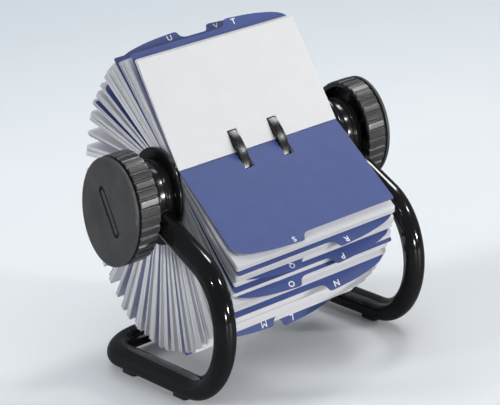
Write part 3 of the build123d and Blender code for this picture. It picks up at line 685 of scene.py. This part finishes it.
# ---------------------------------------------------------------------- rings
def build_ring(x0, word):
    R, W, T = RING_R, 5.5, 1.5
    h = W / 2
    prof = []
    prof += arc(-h + 0.45, R - 0.45, 0.45, 180, 90, 5)
    prof += arc(h - 0.45, R - 0.45, 0.45, 90, 0, 5)
    prof += arc(h - 0.3, R - T + 0.3, 0.3, 0, -90, 3)
    prof += [(1.5, R - T), (1.1, R - T - 0.15), (1.0, R - T - 0.6)]
    prof += arc(0.6, R - 6.1, 0.4, 0, -90, 2) + arc(-0.6, R - 6.1, 0.4, -90, -180, 2)
    prof += [(-1.0, R - T - 0.6), (-1.1, R - T - 0.15), (-1.5, R - T)]
    prof += arc(-h + 0.3, R - T + 0.3, 0.3, 270, 180, 3)
    verts, faces = [], []
    segs = 160
    for i in range(segs):
        a = 2 * math.pi * i / segs
        for x, r in prof:
            verts.append((x0 + x, -r * math.cos(a), AXIS_H + r * math.sin(a)))
    faces = grid_faces(segs, len(prof), True, True)
    # five spokes and the hub of the wheel
    hubp = [(-1.0, 9.3), (-0.8, 9.5), (0.8, 9.5), (1.0, 9.3), (1.0, 3.1), (-1.0, 3.1)]
    b = len(verts)
    for i in range(64):
        a = 2 * math.pi * i / 64
        for x, r in hubp:
            verts.append((x0 + x, -r * math.cos(a), AXIS_H + r * math.sin(a)))
    faces += grid_faces(64, len(hubp), True, True, base=b)
    for k in range(5):
        a = math.radians(90 - (90 + 72 * k) + 0)  # same places as the wheel's spokes
        a = math.radians(-(90 + 72 * k))
        ca, sa = math.cos(a), math.sin(a)
        b = len(verts)
        for r, w in ((8.6, 3.2), (12.0, 2.5), (18.0, 2.3), (23.2, 3.2)):
            for sx, sw in ((-1, -1), (-1, 1), (1, 1), (1, -1)):
                u, v = r * ca - sw * w * sa, r * sa + sw * w * ca
                verts.append((x0 + sx * 0.99, -u, AXIS_H + v))
        for j in range(3):
            for q in range(4):
                o, p = b + 4 * j + q, b + 4 * j + (q + 1) % 4
                faces.append((o, p, p + 4, o + 4))
        faces.append((b + 3, b + 2, b + 1, b))
        faces.append((b + 12, b + 13, b + 14, b + 15))
    ob = make_object(word + "_t_ring", verts, faces, [M["ring"]], "rotor", sharp=math.radians(40))
    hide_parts(word + "_card_ring")


build_ring(-RING_X, "left")
build_ring(RING_X, "right")


# ---------------------------------------------------------------------- cards
def unit(a):
    return math.cos(math.radians(a)), math.sin(math.radians(a))


def from_qp(a, q, p):
    (eu, ev), (nu, nv) = unit(a), unit(a - 90)
    return q * eu + p * nu, q * ev + p * nv


def table(x, pts):
    for (x0, y0), (x1, y1) in zip(pts, pts[1:]):
        if x <= x1:
            return y0 + (y1 - y0) * (x - x0) / (x1 - x0)
    return pts[-1][1]


#FAN-BEGIN
TAB_EDGE = [(-50.8, 57.5), (-50.4, 59.6), (-49.2, 61.6), (-47.6, 63.1), (-45.5, 64.3), (-42.0, 65.6),
            (-38.0, 66.6), (-34.0, 67.4), (-30.0, 68.1), (-25.0, 68.7), (-20.0, 69.1), (-15.0, 69.45),
            (-12.8, 69.6), (-11.7, 69.5), (-10.9, 69.15), (-10.4, 68.5), (-10.1, 67.6), (-9.7, 66.7),
            (-9.0, 65.8), (-7.9, 65.1), (-6.5, 64.7), (-4.8, 64.6)]
FAN_FIRST, FAN_LAST = 133.0, 326.6   # directions of its first and last card


def hang(a, p, slip=0.0):
    """How far along its own line a card hangs out from the axis."""
    rest = slip + table(a, [(132, 4.2), (136, 6.2), (140, 9.2), (143, 11.0), (146, 12.0), (165, 12.3),
                            (174, 11.0), (190, 11.0), (215, 13.0), (230, 14.6), (240, 16.4), (260, 15.8),
                            (280, 17.0), (292, 15.2), (304, 13.6), (311, 13.4), (316, 12.0), (320, 10.2),
                            (324, 9.0), (328, 8.5)])
    on_ring = math.sqrt(max(RING_R ** 2 - p * p, 0)) - SLOT_D + 0.45
    on_lips = math.sqrt(max((RING_R - FLANGE_T) ** 2 - p * p, 0)) - LIP_T - 0.35
    return min(max(rest, on_ring), on_lips)


# dividers, by direction: L or R says which half carries the tab
DIVIDERS = [(138.0, "L"), (139.6, "R"), (151.0, "L"), (160.0, "R"), (167.5, "L"), (176.0, "R"),
            (184.0, "L"), (193.0, "R"), (202.0, "L"), (211.0, "R"), (220.0, "L"), (229.0, "R"),
            (239.5, "L"), (247.0, "R"), (255.0, "L"), (263.0, "R"), (271.0, "L"), (280.2, "R"),
            (295.0, "L"), (310.3, "R"), (315.4, "L"), (318.2, "R"), (320.2, "L"), (324.0, "R")]


GROUPS = (3, 4, 5, 5, 6, 8)      # leaves that lie together
# how wide the fan opens between groups, by direction
OPENINGS = [(132, 0.35), (142, 0.55), (150, 1.7), (200, 1.9), (240, 1.4), (296, 0.9), (310, 0.9), (328, 0.7)]

# how much of an opening is already there at the bottom edges, by direction
SPREAD = [(133, 0.1), (190, 0.2), (230, 1.0), (328, 1.4)]


def fan_places():
    """[(direction, q, p, kind)] for every leaf of the fan, top front to bottom front."""
    rnd = random.Random(41)
    angles, a, in_group = [], FAN_FIRST, 0
    divs = list(DIVIDERS)
    while a < FAN_LAST:
        if divs and a >= divs[0][0] - 0.2:
            angles.append((a, divs.pop(0)[1]))
        else:
            angles.append((a, "C"))
        if in_group <= 0:
            in_group = rnd.choice(GROUPS)
            a += rnd.uniform(1.5, 3.3) * table(a, OPENINGS)
        else:
            in_group -= 1
            a += rnd.uniform(0.22, 0.42)
    # bottom-edge spacing: thin inside a group, wider where the fan opens
    p0, p1 = 23.55, -23.55
    steps = [b[0] - c[0] for b, c in zip(angles[1:], angles)]
    need = []
    for (ang, _), st in zip(angles, steps):
        need.append(0.29 if st < 0.6 else 0.36)
    # offsets: integrate with equal extra spacing in the openings
    def run(extra):
        p, out = p0, [p0]
        for (ang, _), st, g in zip(angles, steps, need):
            q = hang(ang, p)
            opening = g + (extra * table(ang, SPREAD) * (st - 0.6) if st >= 0.6 else 0.0)
            p += q * math.radians(st) - opening
            out.append(p)
        return out
    lo, hi = 0.0, 4.0
    for _ in range(60):
        mid = (lo + hi) / 2
        if run(mid)[-1] > p1:
            lo = mid
        else:
            hi = mid
    ps = run((lo + hi) / 2)
    # leaves slip a little out or in on the rings; a group mostly slips together
    out, group_slip, last = [], 0.0, None
    for (ang, kind), p in zip(angles, ps):
        if last is None or ang - last > 0.6:
            group_slip = rnd.uniform(-1.0, 1.0) * table(ang, [(140, 0.4), (160, 1.2), (270, 1.2), (300, 0.5)])
        last = ang
        slip = group_slip + rnd.uniform(-0.3, 0.3)
        if kind != "C":          # dividers stand out of the two thick stacks
            slip = table(ang, [(142, 4.0), (150, 0.6), (270, 1.0), (280, 2.7), (295, 2.0), (310, 5.4),
                               (316, 4.4), (318.2, 3.6), (320.2, 1.4), (324, 4.7), (328, 4.8)])
        out.append((ang, hang(ang, p, slip), p, kind))
    return out
#FAN-END


def leaf_columns(side):
    m, w = MOUTH_W / 2, SLOT_W / 2
    W = CARD_W / 2
    xs = {0.0, W, W - 0.25, W - 0.6, W - 1.2, 46.5, 42.0, 37.0, 32.0, 27.0, 22.5, 5.5, 3.0}
    for c in (RING_X,):
        for d in (m, w):
            xs |= {c - d, c + d}
    xs = {x for x in xs} | {-x for x in xs}
    if side != "C":
        s = 1 if side == "L" else -1
        xs |= {s * x for x, _ in TAB_EDGE}
    return sorted(xs)


def top_edge(x, side):
    """Height of a leaf's top edge at x."""
    W, r = CARD_W / 2, 1.2
    h = CARD_H if side == "C" else GUIDE_H
    s = -abs(x) if side == "C" else (x if side == "L" else -x)    # the tab lies at negative s
    if side != "C" and s < TAB_EDGE[-1][0]:
        return table(s, TAB_EDGE)
    d = W - abs(x)
    return h - (r - math.sqrt(max(r * r - (r - d) ** 2, 0.0)) if d < r else 0.0)


def leaf_rows():
    return [0.0, LIP_T, 4.5, 8.5, SLOT_D, 18.0, 24.0, 30.0, 36.0, 42.0, 48.0, 53.0]


TOP_ROWS = (0.30, 0.60, 0.85, 1.0)   # fractions of the way from the last row to the top edge


def leaf_mesh(place, side, warp, tone, thick=CARD_T, drop=0.0):
    """Returns (verts, faces, tone, edge) of one leaf, as a closed thin sheet that bends."""
    a, bu, bv = place
    eu, ev = unit(a)
    nu, nv = unit(a + 90)
    xs, ys = leaf_columns(side), leaf_rows()
    ys[0] = -drop
    nrow = len(ys) + len(TOP_ROWS)
    hole = set()
    for i in range(len(xs) - 1):
        xm = (xs[i] + xs[i + 1]) / 2
        for c in (-RING_X, RING_X):
            d = abs(xm - c)
            for j in range(len(ys) - 1):
                ym = (ys[j] + ys[j + 1]) / 2
                if (ym < LIP_T and d < MOUTH_W / 2) or (LIP_T < ym < SLOT_D and d < SLOT_W / 2):
                    hole.add((i, j))
    index, verts, flat = {}, [], []
    cells = [(i, j) for i in range(len(xs) - 1) for j in range(nrow - 1) if (i, j) not in hole]
    used = sorted({(i + di, j + dj) for i, j in cells for di in (0, 1) for dj in (0, 1)})
    for i, j in used:
        x = xs[i]
        if j < len(ys):
            y = ys[j]
        else:
            y = ys[-1] + (top_edge(x, side) - ys[-1]) * TOP_ROWS[j - len(ys)]
        index[(i, j)] = len(flat)
        flat.append((x, y))
    flat = np.array(flat)
    n = len(flat)
    w = warp(flat[:, 0], flat[:, 1])
    pts = np.zeros((2 * n, 3))
    for k, sgn in enumerate((1, -1)):
        off = w + sgn * thick / 2
        u = bu + flat[:, 1] * eu + off * nu
        v = bv + flat[:, 1] * ev + off * nv
        pts[k * n:(k + 1) * n] = np.column_stack([flat[:, 0], -u, AXIS_H + v])
    faces, edges = [], {}
    for i, j in cells:
        q = [index[(i, j)], index[(i + 1, j)], index[(i + 1, j + 1)], index[(i, j + 1)]]
        faces.append((q[3], q[2], q[1], q[0]))
        faces.append(tuple(n + x for x in q))
        for s in range(4):
            e = (q[s], q[(s + 1) % 4])
            if (e[1], e[0]) in edges:
                del edges[(e[1], e[0])]
            else:
                edges[e] = 1
    rim = set()
    for e in edges:
        faces.append((e[0], e[1], n + e[1], n + e[0]))
        rim |= set(e)
    edge = np.zeros(2 * n)
    for r in rim:
        edge[r] = edge[n + r] = 1.0
    return pts, faces, np.full(2 * n, tone), edge


def letter_outline(ch, size):
    """Filled letter as a flat mesh, centred, size mm high."""
    # a bolder stroke where the letter allows it: some outlines fold over themselves when thickened
    for bold in (0.022, 0.014, 0.007, 0.0):
        cu = bpy.data.curves.new("ltr", "FONT")
        cu.body = ch
        cu.size = 1.0
        cu.align_x = "CENTER"
        cu.resolution_u = 3
        cu.offset = bold
        ob = bpy.data.objects.new("ltr", cu)
        coll.objects.link(ob)
        bpy.context.view_layer.update()
        me = bpy.data.meshes.new_from_object(ob.evaluated_get(bpy.context.evaluated_depsgraph_get()))
        v = np.array([p.co[:] for p in me.vertices])[:, :2]
        f = [tuple(p.vertices) for p in me.polygons]
        bpy.data.objects.remove(ob)
        bpy.data.curves.remove(cu)
        bpy.data.meshes.remove(me)
        lo, hi = v.min(0), v.max(0)
        v = (v - (lo + hi) / 2) * (size / (hi[1] - lo[1]))
        # weld points that lie on each other, so that only the true outline is open
        seen, to, keep = {}, [], []
        for k, q in enumerate(v):
            key = (round(q[0], 3), round(q[1], 3))
            if key not in seen:
                seen[key] = len(keep)
                keep.append(k)
            to.append(seen[key])
        f = [tuple(to[i] for i in q) for q in f]
        f = [q for q in f if len(set(q)) == len(q)]
        edges = [(q[i], q[(i + 1) % len(q)]) for q in f for i in range(len(q))]
        if len(set(edges)) == len(edges):
            break
    return v[keep], f


def letter_piece(place, side, warp, ch, thick=CARD_T, size=3.5):
    """The tab's letter, printed on both faces, following the leaf's bend."""
    a, bu, bv = place
    eu, ev = unit(a)
    nu, nv = unit(a + 90)
    v2, f2 = letter_outline(ch, size)
    cx = -16.1 if side == "L" else 16.1
    cy = 66.7
    # boundary of the flat letter, for its side walls
    count = {}
    for f in f2:
        for i in range(len(f)):
            e = (f[i], f[(i + 1) % len(f)])
            count[e] = count.get(e, 0) + 1
    border = [e for e in count if (e[1], e[0]) not in count]
    verts, faces = [], []
    n = len(v2)
    for sgn in (1, -1):
        b = len(verts)
        for lift in (0.03, -0.03):
            for x, y in v2:
                # seen from a face, the leaf's top edge is up and the letter isn't mirrored
                px = cx + x * (1 if sgn < 0 else -1)
                py = cy + y
                w = float(warp(np.array([px]), np.array([py]))[0]) + sgn * (thick / 2 + lift)
                verts.append((px, -(bu + py * eu + w * nu), AXIS_H + bv + py * ev + w * nv))
        for f in f2:
            faces.append(tuple(b + i for i in f))
            faces.append(tuple(b + n + i for i in reversed(f)))
        for i, j in border:
            faces.append((b + j, b + i, b + n + i, b + n + j))
    return verts, faces


def join(parts):
    """Concatenate [(verts, faces, tone, edge)]."""
    V, F, Tn, Ed, n = [], [], [], [], 0
    for v, f, t, e in parts:
        V.append(v)
        F += [tuple(n + i for i in q) for q in f]
        Tn.append(t)
        Ed.append(e)
        n += len(v)
    return np.vstack(V), F, np.concatenate(Tn), np.concatenate(Ed)


rnd = random.Random(7)
FLIPS = {"flip_card": (128.0, 19.6, 16.4), "second_card": (129.0, 18.05, 17.31), "tab_divider": (130.0, 13.34, 21.90)}
FRONT = (328.0, 19.9, 15.7)
fan = fan_places()
places = [(a, *from_qp(a, q, p)) for a, q, p, k in fan]
kinds = [k for *_, k in fan]
N = len(places)


def tip_gap(A, B, t):
    """Clear distance between two leaf lines at height t."""
    a = np.array([A[1] + t * unit(A[0])[0], A[2] + t * unit(A[0])[1]])
    b = np.array([B[1] + t * unit(B[0])[0], B[2] + t * unit(B[0])[1]])
    n = np.array(unit(A[0] + 90))
    return abs((b - a) @ n)


# slowly wandering bend coefficients, each step limited by the room to the next leaf
coef = np.zeros((N, 4))
for i in range(1, N):
    room = max(tip_gap(places[i - 1], places[i], 62.0) - CARD_T, 0.0)
    room = min(room, 1.6)
    for c, share, limit in ((0, 0.42, 1.7), (1, 0.20, 0.8), (2, 0.16, 0.7), (3, 0.12, 0.6)):
        step = rnd.uniform(-1, 1) * share * room
        v = coef[i - 1, c] * 0.93 + step * 0.85
        coef[i, c] = max(-limit, min(limit, v))
# fade the bends out at both ends of the fan, where the flat top leaves lie on it
fade = np.clip(np.minimum(np.arange(N) / 14.0, (N - 1 - np.arange(N)) / 14.0), 0, 1)
coef *= fade[:, None]


def warp_of(c, extra=0.0):
    c = list(c)

    def f(x, y):
        xn = x / (CARD_W / 2)
        yn = np.clip(y / CARD_H, 0, 1.15)
        s = np.clip((y - 1.0) / 14.0, 0, 1)
        s = s * s * (3 - 2 * s)
        return (c[0] * yn ** 2 + c[1] * (xn ** 2 - 0.35) * yn + c[2] * xn * yn
                + c[3] * np.sin(2.3 * xn + 1.0) * yn ** 2 + extra * (xn ** 2 - 0.4) * yn) * s

    return f


PACKS = 8
card_idx = [i for i in range(N) if kinds[i] == "C"]
for n in range(PACKS):
    lo, hi = len(card_idx) * n // PACKS, len(card_idx) * (n + 1) // PACKS
    parts = [leaf_mesh(places[i], "C", warp_of(coef[i]), rnd.random()) for i in card_idx[lo:hi]]
    V, F, Tn, Ed = join(parts)
    ob = make_object(f"card_leaves_{n + 1}", V, F, [M["paper"]], "rotor", sharp=math.radians(50),
                     attrs={"leaf_tone": Tn, "leaf_edge": Ed})
    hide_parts(f"card_pack_{n + 1}")

# dividers: the alphabet runs on from the front divider over the top and round
div_idx = [i for i in range(N) if kinds[i] != "C"]
letters = {}
order = "UVWXYZABCDEFGHIJKLMNOPQR"
for k, i in enumerate(div_idx):
    letters[i] = order[k % len(order)]
parts = [leaf_mesh(places[i], kinds[i], warp_of(coef[i]), rnd.random()) for i in div_idx]
V, F, Tn, Ed = join(parts)
ob = make_object("tabbed_dividers", V, F, [M["board"]], "rotor", sharp=math.radians(50),
                 attrs={"leaf_tone": Tn, "leaf_edge": Ed})
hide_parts("index_dividers")
LV, LF = [], []
for i in div_idx:
    v, f = letter_piece(places[i], kinds[i], warp_of(coef[i]), letters[i])
    b = len(LV)
    LV += v
    LF += [tuple(b + j for j in q) for q in f]
make_object("tab_letters", LV, LF, [M["ink"]], "rotor", smooth=False)

# the leaves that flip, and the front divider
flat = warp_of((0, 0, 0, 0))
for name, side, warp, ch in (("flip_card", "C", warp_of((0.0, 0.18, 0.1, 0.0)), None),
                             ("second_card", "C", warp_of((0.0, 0.18, 0.1, 0.0)), None),
                             ("tab_divider", "R", warp_of((0.0, 0.18, 0.1, 0.0)), "T")):
    v, f, t, e = leaf_mesh(FLIPS[name], side, warp, 1.0 if side == "C" else 0.0,
                           drop=0.42 if name == "flip_card" else 0.0)
    mat, slot = (M["paper"], "card_stock") if side == "C" else (M["board"], "divider_stock")
    ob = make_object(name + "_leaf", v, f, [mat], name, sharp=math.radians(50),
                     attrs={"leaf_tone": t, "leaf_edge": e})
    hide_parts(name)
    if ch:
        v, f = letter_piece(FLIPS[name], side, warp, ch)
        make_object(name + "_letter", v, f, [M["ink"]], name, smooth=False)
v, f, t, e = leaf_mesh(FRONT, "L", flat, 0.0)
ob = make_object("front_divider_leaf", v, f, [M["board"]], "rotor", sharp=math.radians(50),
                 attrs={"leaf_tone": t, "leaf_edge": e})
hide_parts("front_divider")
v, f = letter_piece(FRONT, "L", flat, "S")
make_object("front_divider_letter", v, f, [M["ink"]], "rotor", smooth=False)

# ------------------------------------------------- materials on carried nodes
for node, mat in (("rubber_feet", "rubber"), ("spindle", "steel"), ("centre_spacer", "ring"), ("left_spacer", "ring"),
                  ("right_spacer", "ring"), ("thrust_washers", "acetal"), ("retaining_clips", "steel"),
                  ("friction_washers", "rubber"), ("knob_screws", "steel"), ("tube_lock_screws", "steel"),
                  ("left_cover_screws", "steel"), ("right_cover_screws", "steel"), ("left_bush", "acetal"),
                  ("right_bush", "acetal")):
    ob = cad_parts[node]
    for s in ob.material_slots:
        s.material = M[mat]

# ------------------------------------------------------- floor, light, camera
BACKDROP = (0.60, 0.665, 0.72)


def floor():
    me = bpy.data.meshes.new("floor")
    # a flat floor that runs far out on every side
    steps = [-14, -9, -6, -4, -2.5, -1.5, -0.8, -0.4, 0, 0.4, 0.8, 1.5, 2.5, 4, 6, 9, 14]
    v = [(x, y, -0.0001) for x in steps for y in steps]
    f = grid_faces(len(steps), len(steps), flip=False)
    me.from_pydata(v, [], f)
    me.shade_smooth()
    m = Mat("pale_floor")
    a = m.noise(7, 3, 0.5)
    b = m.noise(600, 3, 0.6)
    pale = m.ramp(a, [(0.3, (0.89, 0.92, 0.945)), (0.7, (0.92, 0.945, 0.965))])
    lp = m.node("ShaderNodeLightPath")
    m.to(m.mix(lp.outputs["Is Glossy Ray"], pale, (0.11, 0.113, 0.12)), "Base Color")
    m.to(m.remap(b, 0.5, 0.62, 0.3, 0.7), "Roughness")
    m.bump([(b, 0.03, 0.0002)])
    # away from the object the floor fades into the plain backdrop, as seen by the camera only
    ln = m.node("ShaderNodeVectorMath", operation="LENGTH")
    m.link(m.tc.outputs["Object"], ln.inputs[0])
    fade = m.node("ShaderNodeMapRange", interpolation_type="SMOOTHSTEP")
    fade.inputs["From Min"].default_value, fade.inputs["From Max"].default_value = 0.16, 1.1
    m.link(ln.outputs["Value"], fade.inputs["Value"])
    em = m.node("ShaderNodeEmission")
    em.inputs["Color"].default_value = (*BACKDROP, 1.0)
    ms = m.node("ShaderNodeMixShader")
    out = next(n for n in m.m.node_tree.nodes if n.type == "OUTPUT_MATERIAL")
    m.link(m.math("MULTIPLY", fade.outputs["Result"], lp.outputs["Is Camera Ray"]), ms.inputs[0])
    m.link(m.bsdf.outputs[0], ms.inputs[1])
    m.link(em.outputs[0], ms.inputs[2])
    m.link(ms.outputs[0], out.inputs["Surface"])
    me.materials.append(m.m)
    ob = bpy.data.objects.new("floor", me)
    coll.objects.link(ob)


floor()


def area(name, loc, target, size, power, color=(1, 1, 1), size_y=None, spread=math.pi):
    L = bpy.data.lights.new(name, "AREA")
    L.energy = power
    L.color = color
    L.size = size
    if size_y:
        L.shape = "RECTANGLE"
        L.size_y = size_y
    L.spread = spread
    o = bpy.data.objects.new(name, L)
    o.location = loc
    o.rotation_euler = (Vector(target) - Vector(loc)).to_track_quat("-Z", "Y").to_euler()
    o.visible_camera = False
    coll.objects.link(o)
    return o


def aimed(name, az, el, dist, size, power, color=(1, 1, 1), target=(0, 0, 0.09), **kw):
    """Light in the direction az (from the front towards +X) and el (up), in degrees."""
    a, e = math.radians(az), math.radians(el)
    t = Vector(target)
    return area(name, t + Vector((math.sin(a) * math.cos(e), -math.cos(a) * math.cos(e), math.sin(e))) * dist,
                t, size, power, color, **kw)


aimed("strobe", 28, 12, 1.5, 0.13, 9.0, (1.0, 0.99, 0.97))
for args in (("front_fill", 8, 1, 1.3, 0.45, 6.6, (1.0, 0.995, 0.99)),
             ("top_softbox", -20, 72, 1.3, 0.8, 2.4, (0.99, 0.995, 1.0)),
             ("left_fill", -122, 10, 1.4, 0.40, 17.0, (0.97, 0.98, 1.0)),
             ("back_fill", 165, 28, 1.5, 0.7, 5.0, (0.98, 0.99, 1.0)),
             ("side_fill", 92, 12, 1.5, 0.5, 3.5, (1.0, 0.995, 0.99))):
    aimed(*args).visible_glossy = False      # large panels light the object but don't show in its gloss
aimed("right_softbox", 112, 50, 1.15, 0.30, 2.6, (1.0, 0.995, 0.985))
for args in (("glint_left", -62, 40, 1.2, 0.03, 0.9), ("glint_high", 45, 45, 1.2, 0.11, 2.4), ("glint_knob", -8, 6, 1.3, 0.10, 3.4),
             ("hub_sheen", 107, 58, 1.2, 0.28, 1.3)):
    aimed(*args).visible_diffuse = False     # small lamps that only make sharp highlights

world = bpy.data.worlds.new("studio")
world.use_nodes = True
wt = world.node_tree
bg = next(n for n in wt.nodes if n.type == "BACKGROUND")
lp = wt.nodes.new("ShaderNodeLightPath")
mr = wt.nodes.new("ShaderNodeMapRange")
mr.inputs["To Min"].default_value = 0.31        # ambient
mr.inputs["To Max"].default_value = 0.10        # what polished surfaces mirror: a dim room
wt.links.new(lp.outputs["Is Glossy Ray"], mr.inputs["Value"])
wt.links.new(mr.outputs["Result"], bg.inputs["Strength"])
plain = wt.nodes.new("ShaderNodeBackground")
plain.inputs["Color"].default_value = (*BACKDROP, 1.0)
pick = wt.nodes.new("ShaderNodeMixShader")
world_out = next(n for n in wt.nodes if n.type == "OUTPUT_WORLD")
wt.links.new(lp.outputs["Is Camera Ray"], pick.inputs[0])
wt.links.new(bg.outputs[0], pick.inputs[1])
wt.links.new(plain.outputs[0], pick.inputs[2])
wt.links.new(pick.outputs[0], world_out.inputs["Surface"])
bg.inputs["Color"].default_value = (0.86, 0.91, 0.97, 1.0)
scene.world = world

# camera: placed by position, rotation rows (right, down, forward), focal length and principal point in pixels
CAM = dict(R=[[1, 0, 0], [0, 0, -1], [0, 1, 0]], C=[0, -1500, 96], f=1500.0, cx=250.0, cy=202.5)
#CAM-BEGIN
CAM = {'R': [[0.6567907, -0.7519592, -0.056421], [0.0275297, 0.0986827, -0.9947381], [0.7535703, 0.6517814, 0.085515]], 'C': [-764.68, -1234.08, 544.16], 'f': 2343.81, 'cx': 940.21, 'cy': -861.0}
#CAM-END
W_PX, H_PX = 500, 405
cam = bpy.data.cameras.new("view")
co = bpy.data.objects.new("view", cam)
coll.objects.link(co)
R = Matrix(CAM["R"])
rot = Matrix((R[0], -R[1], -R[2])).transposed()
co.matrix_world = Matrix.Translation(Vector(CAM["C"]) * MM) @ rot.to_4x4()
cam.sensor_fit = "HORIZONTAL"
cam.sensor_width = 36.0
cam.lens = 36.0 * CAM["f"] / W_PX
cam.shift_x = (W_PX / 2 - CAM["cx"]) / W_PX
cam.shift_y = (CAM["cy"] - H_PX / 2) / W_PX
cam.clip_start, cam.clip_end = 0.05, 30.0

# the lens shift belongs to this one viewpoint: it falls to nothing once the camera stands anywhere else
spot = bpy.data.objects.new("viewpoint", None)
spot.location = co.matrix_world.translation
coll.objects.link(spot)
for path in ("shift_x", "shift_y"):
    value = getattr(cam, path)
    fc = cam.driver_add(path)
    fc.driver.type = "AVERAGE"
    var = fc.driver.variables.new()
    var.type = "LOC_DIFF"                     # distance from the viewpoint, in metres
    var.targets[0].id = co
    var.targets[1].id = spot
    for m in list(fc.modifiers):
        fc.modifiers.remove(m)
    while len(fc.keyframe_points):
        fc.keyframe_points.remove(fc.keyframe_points[0])
    for dist, v in ((0.0, value), (0.05, value), (0.1, 0.0), (50.0, 0.0)):
        fc.keyframe_points.insert(dist, v).interpolation = "LINEAR"
scene.camera = co
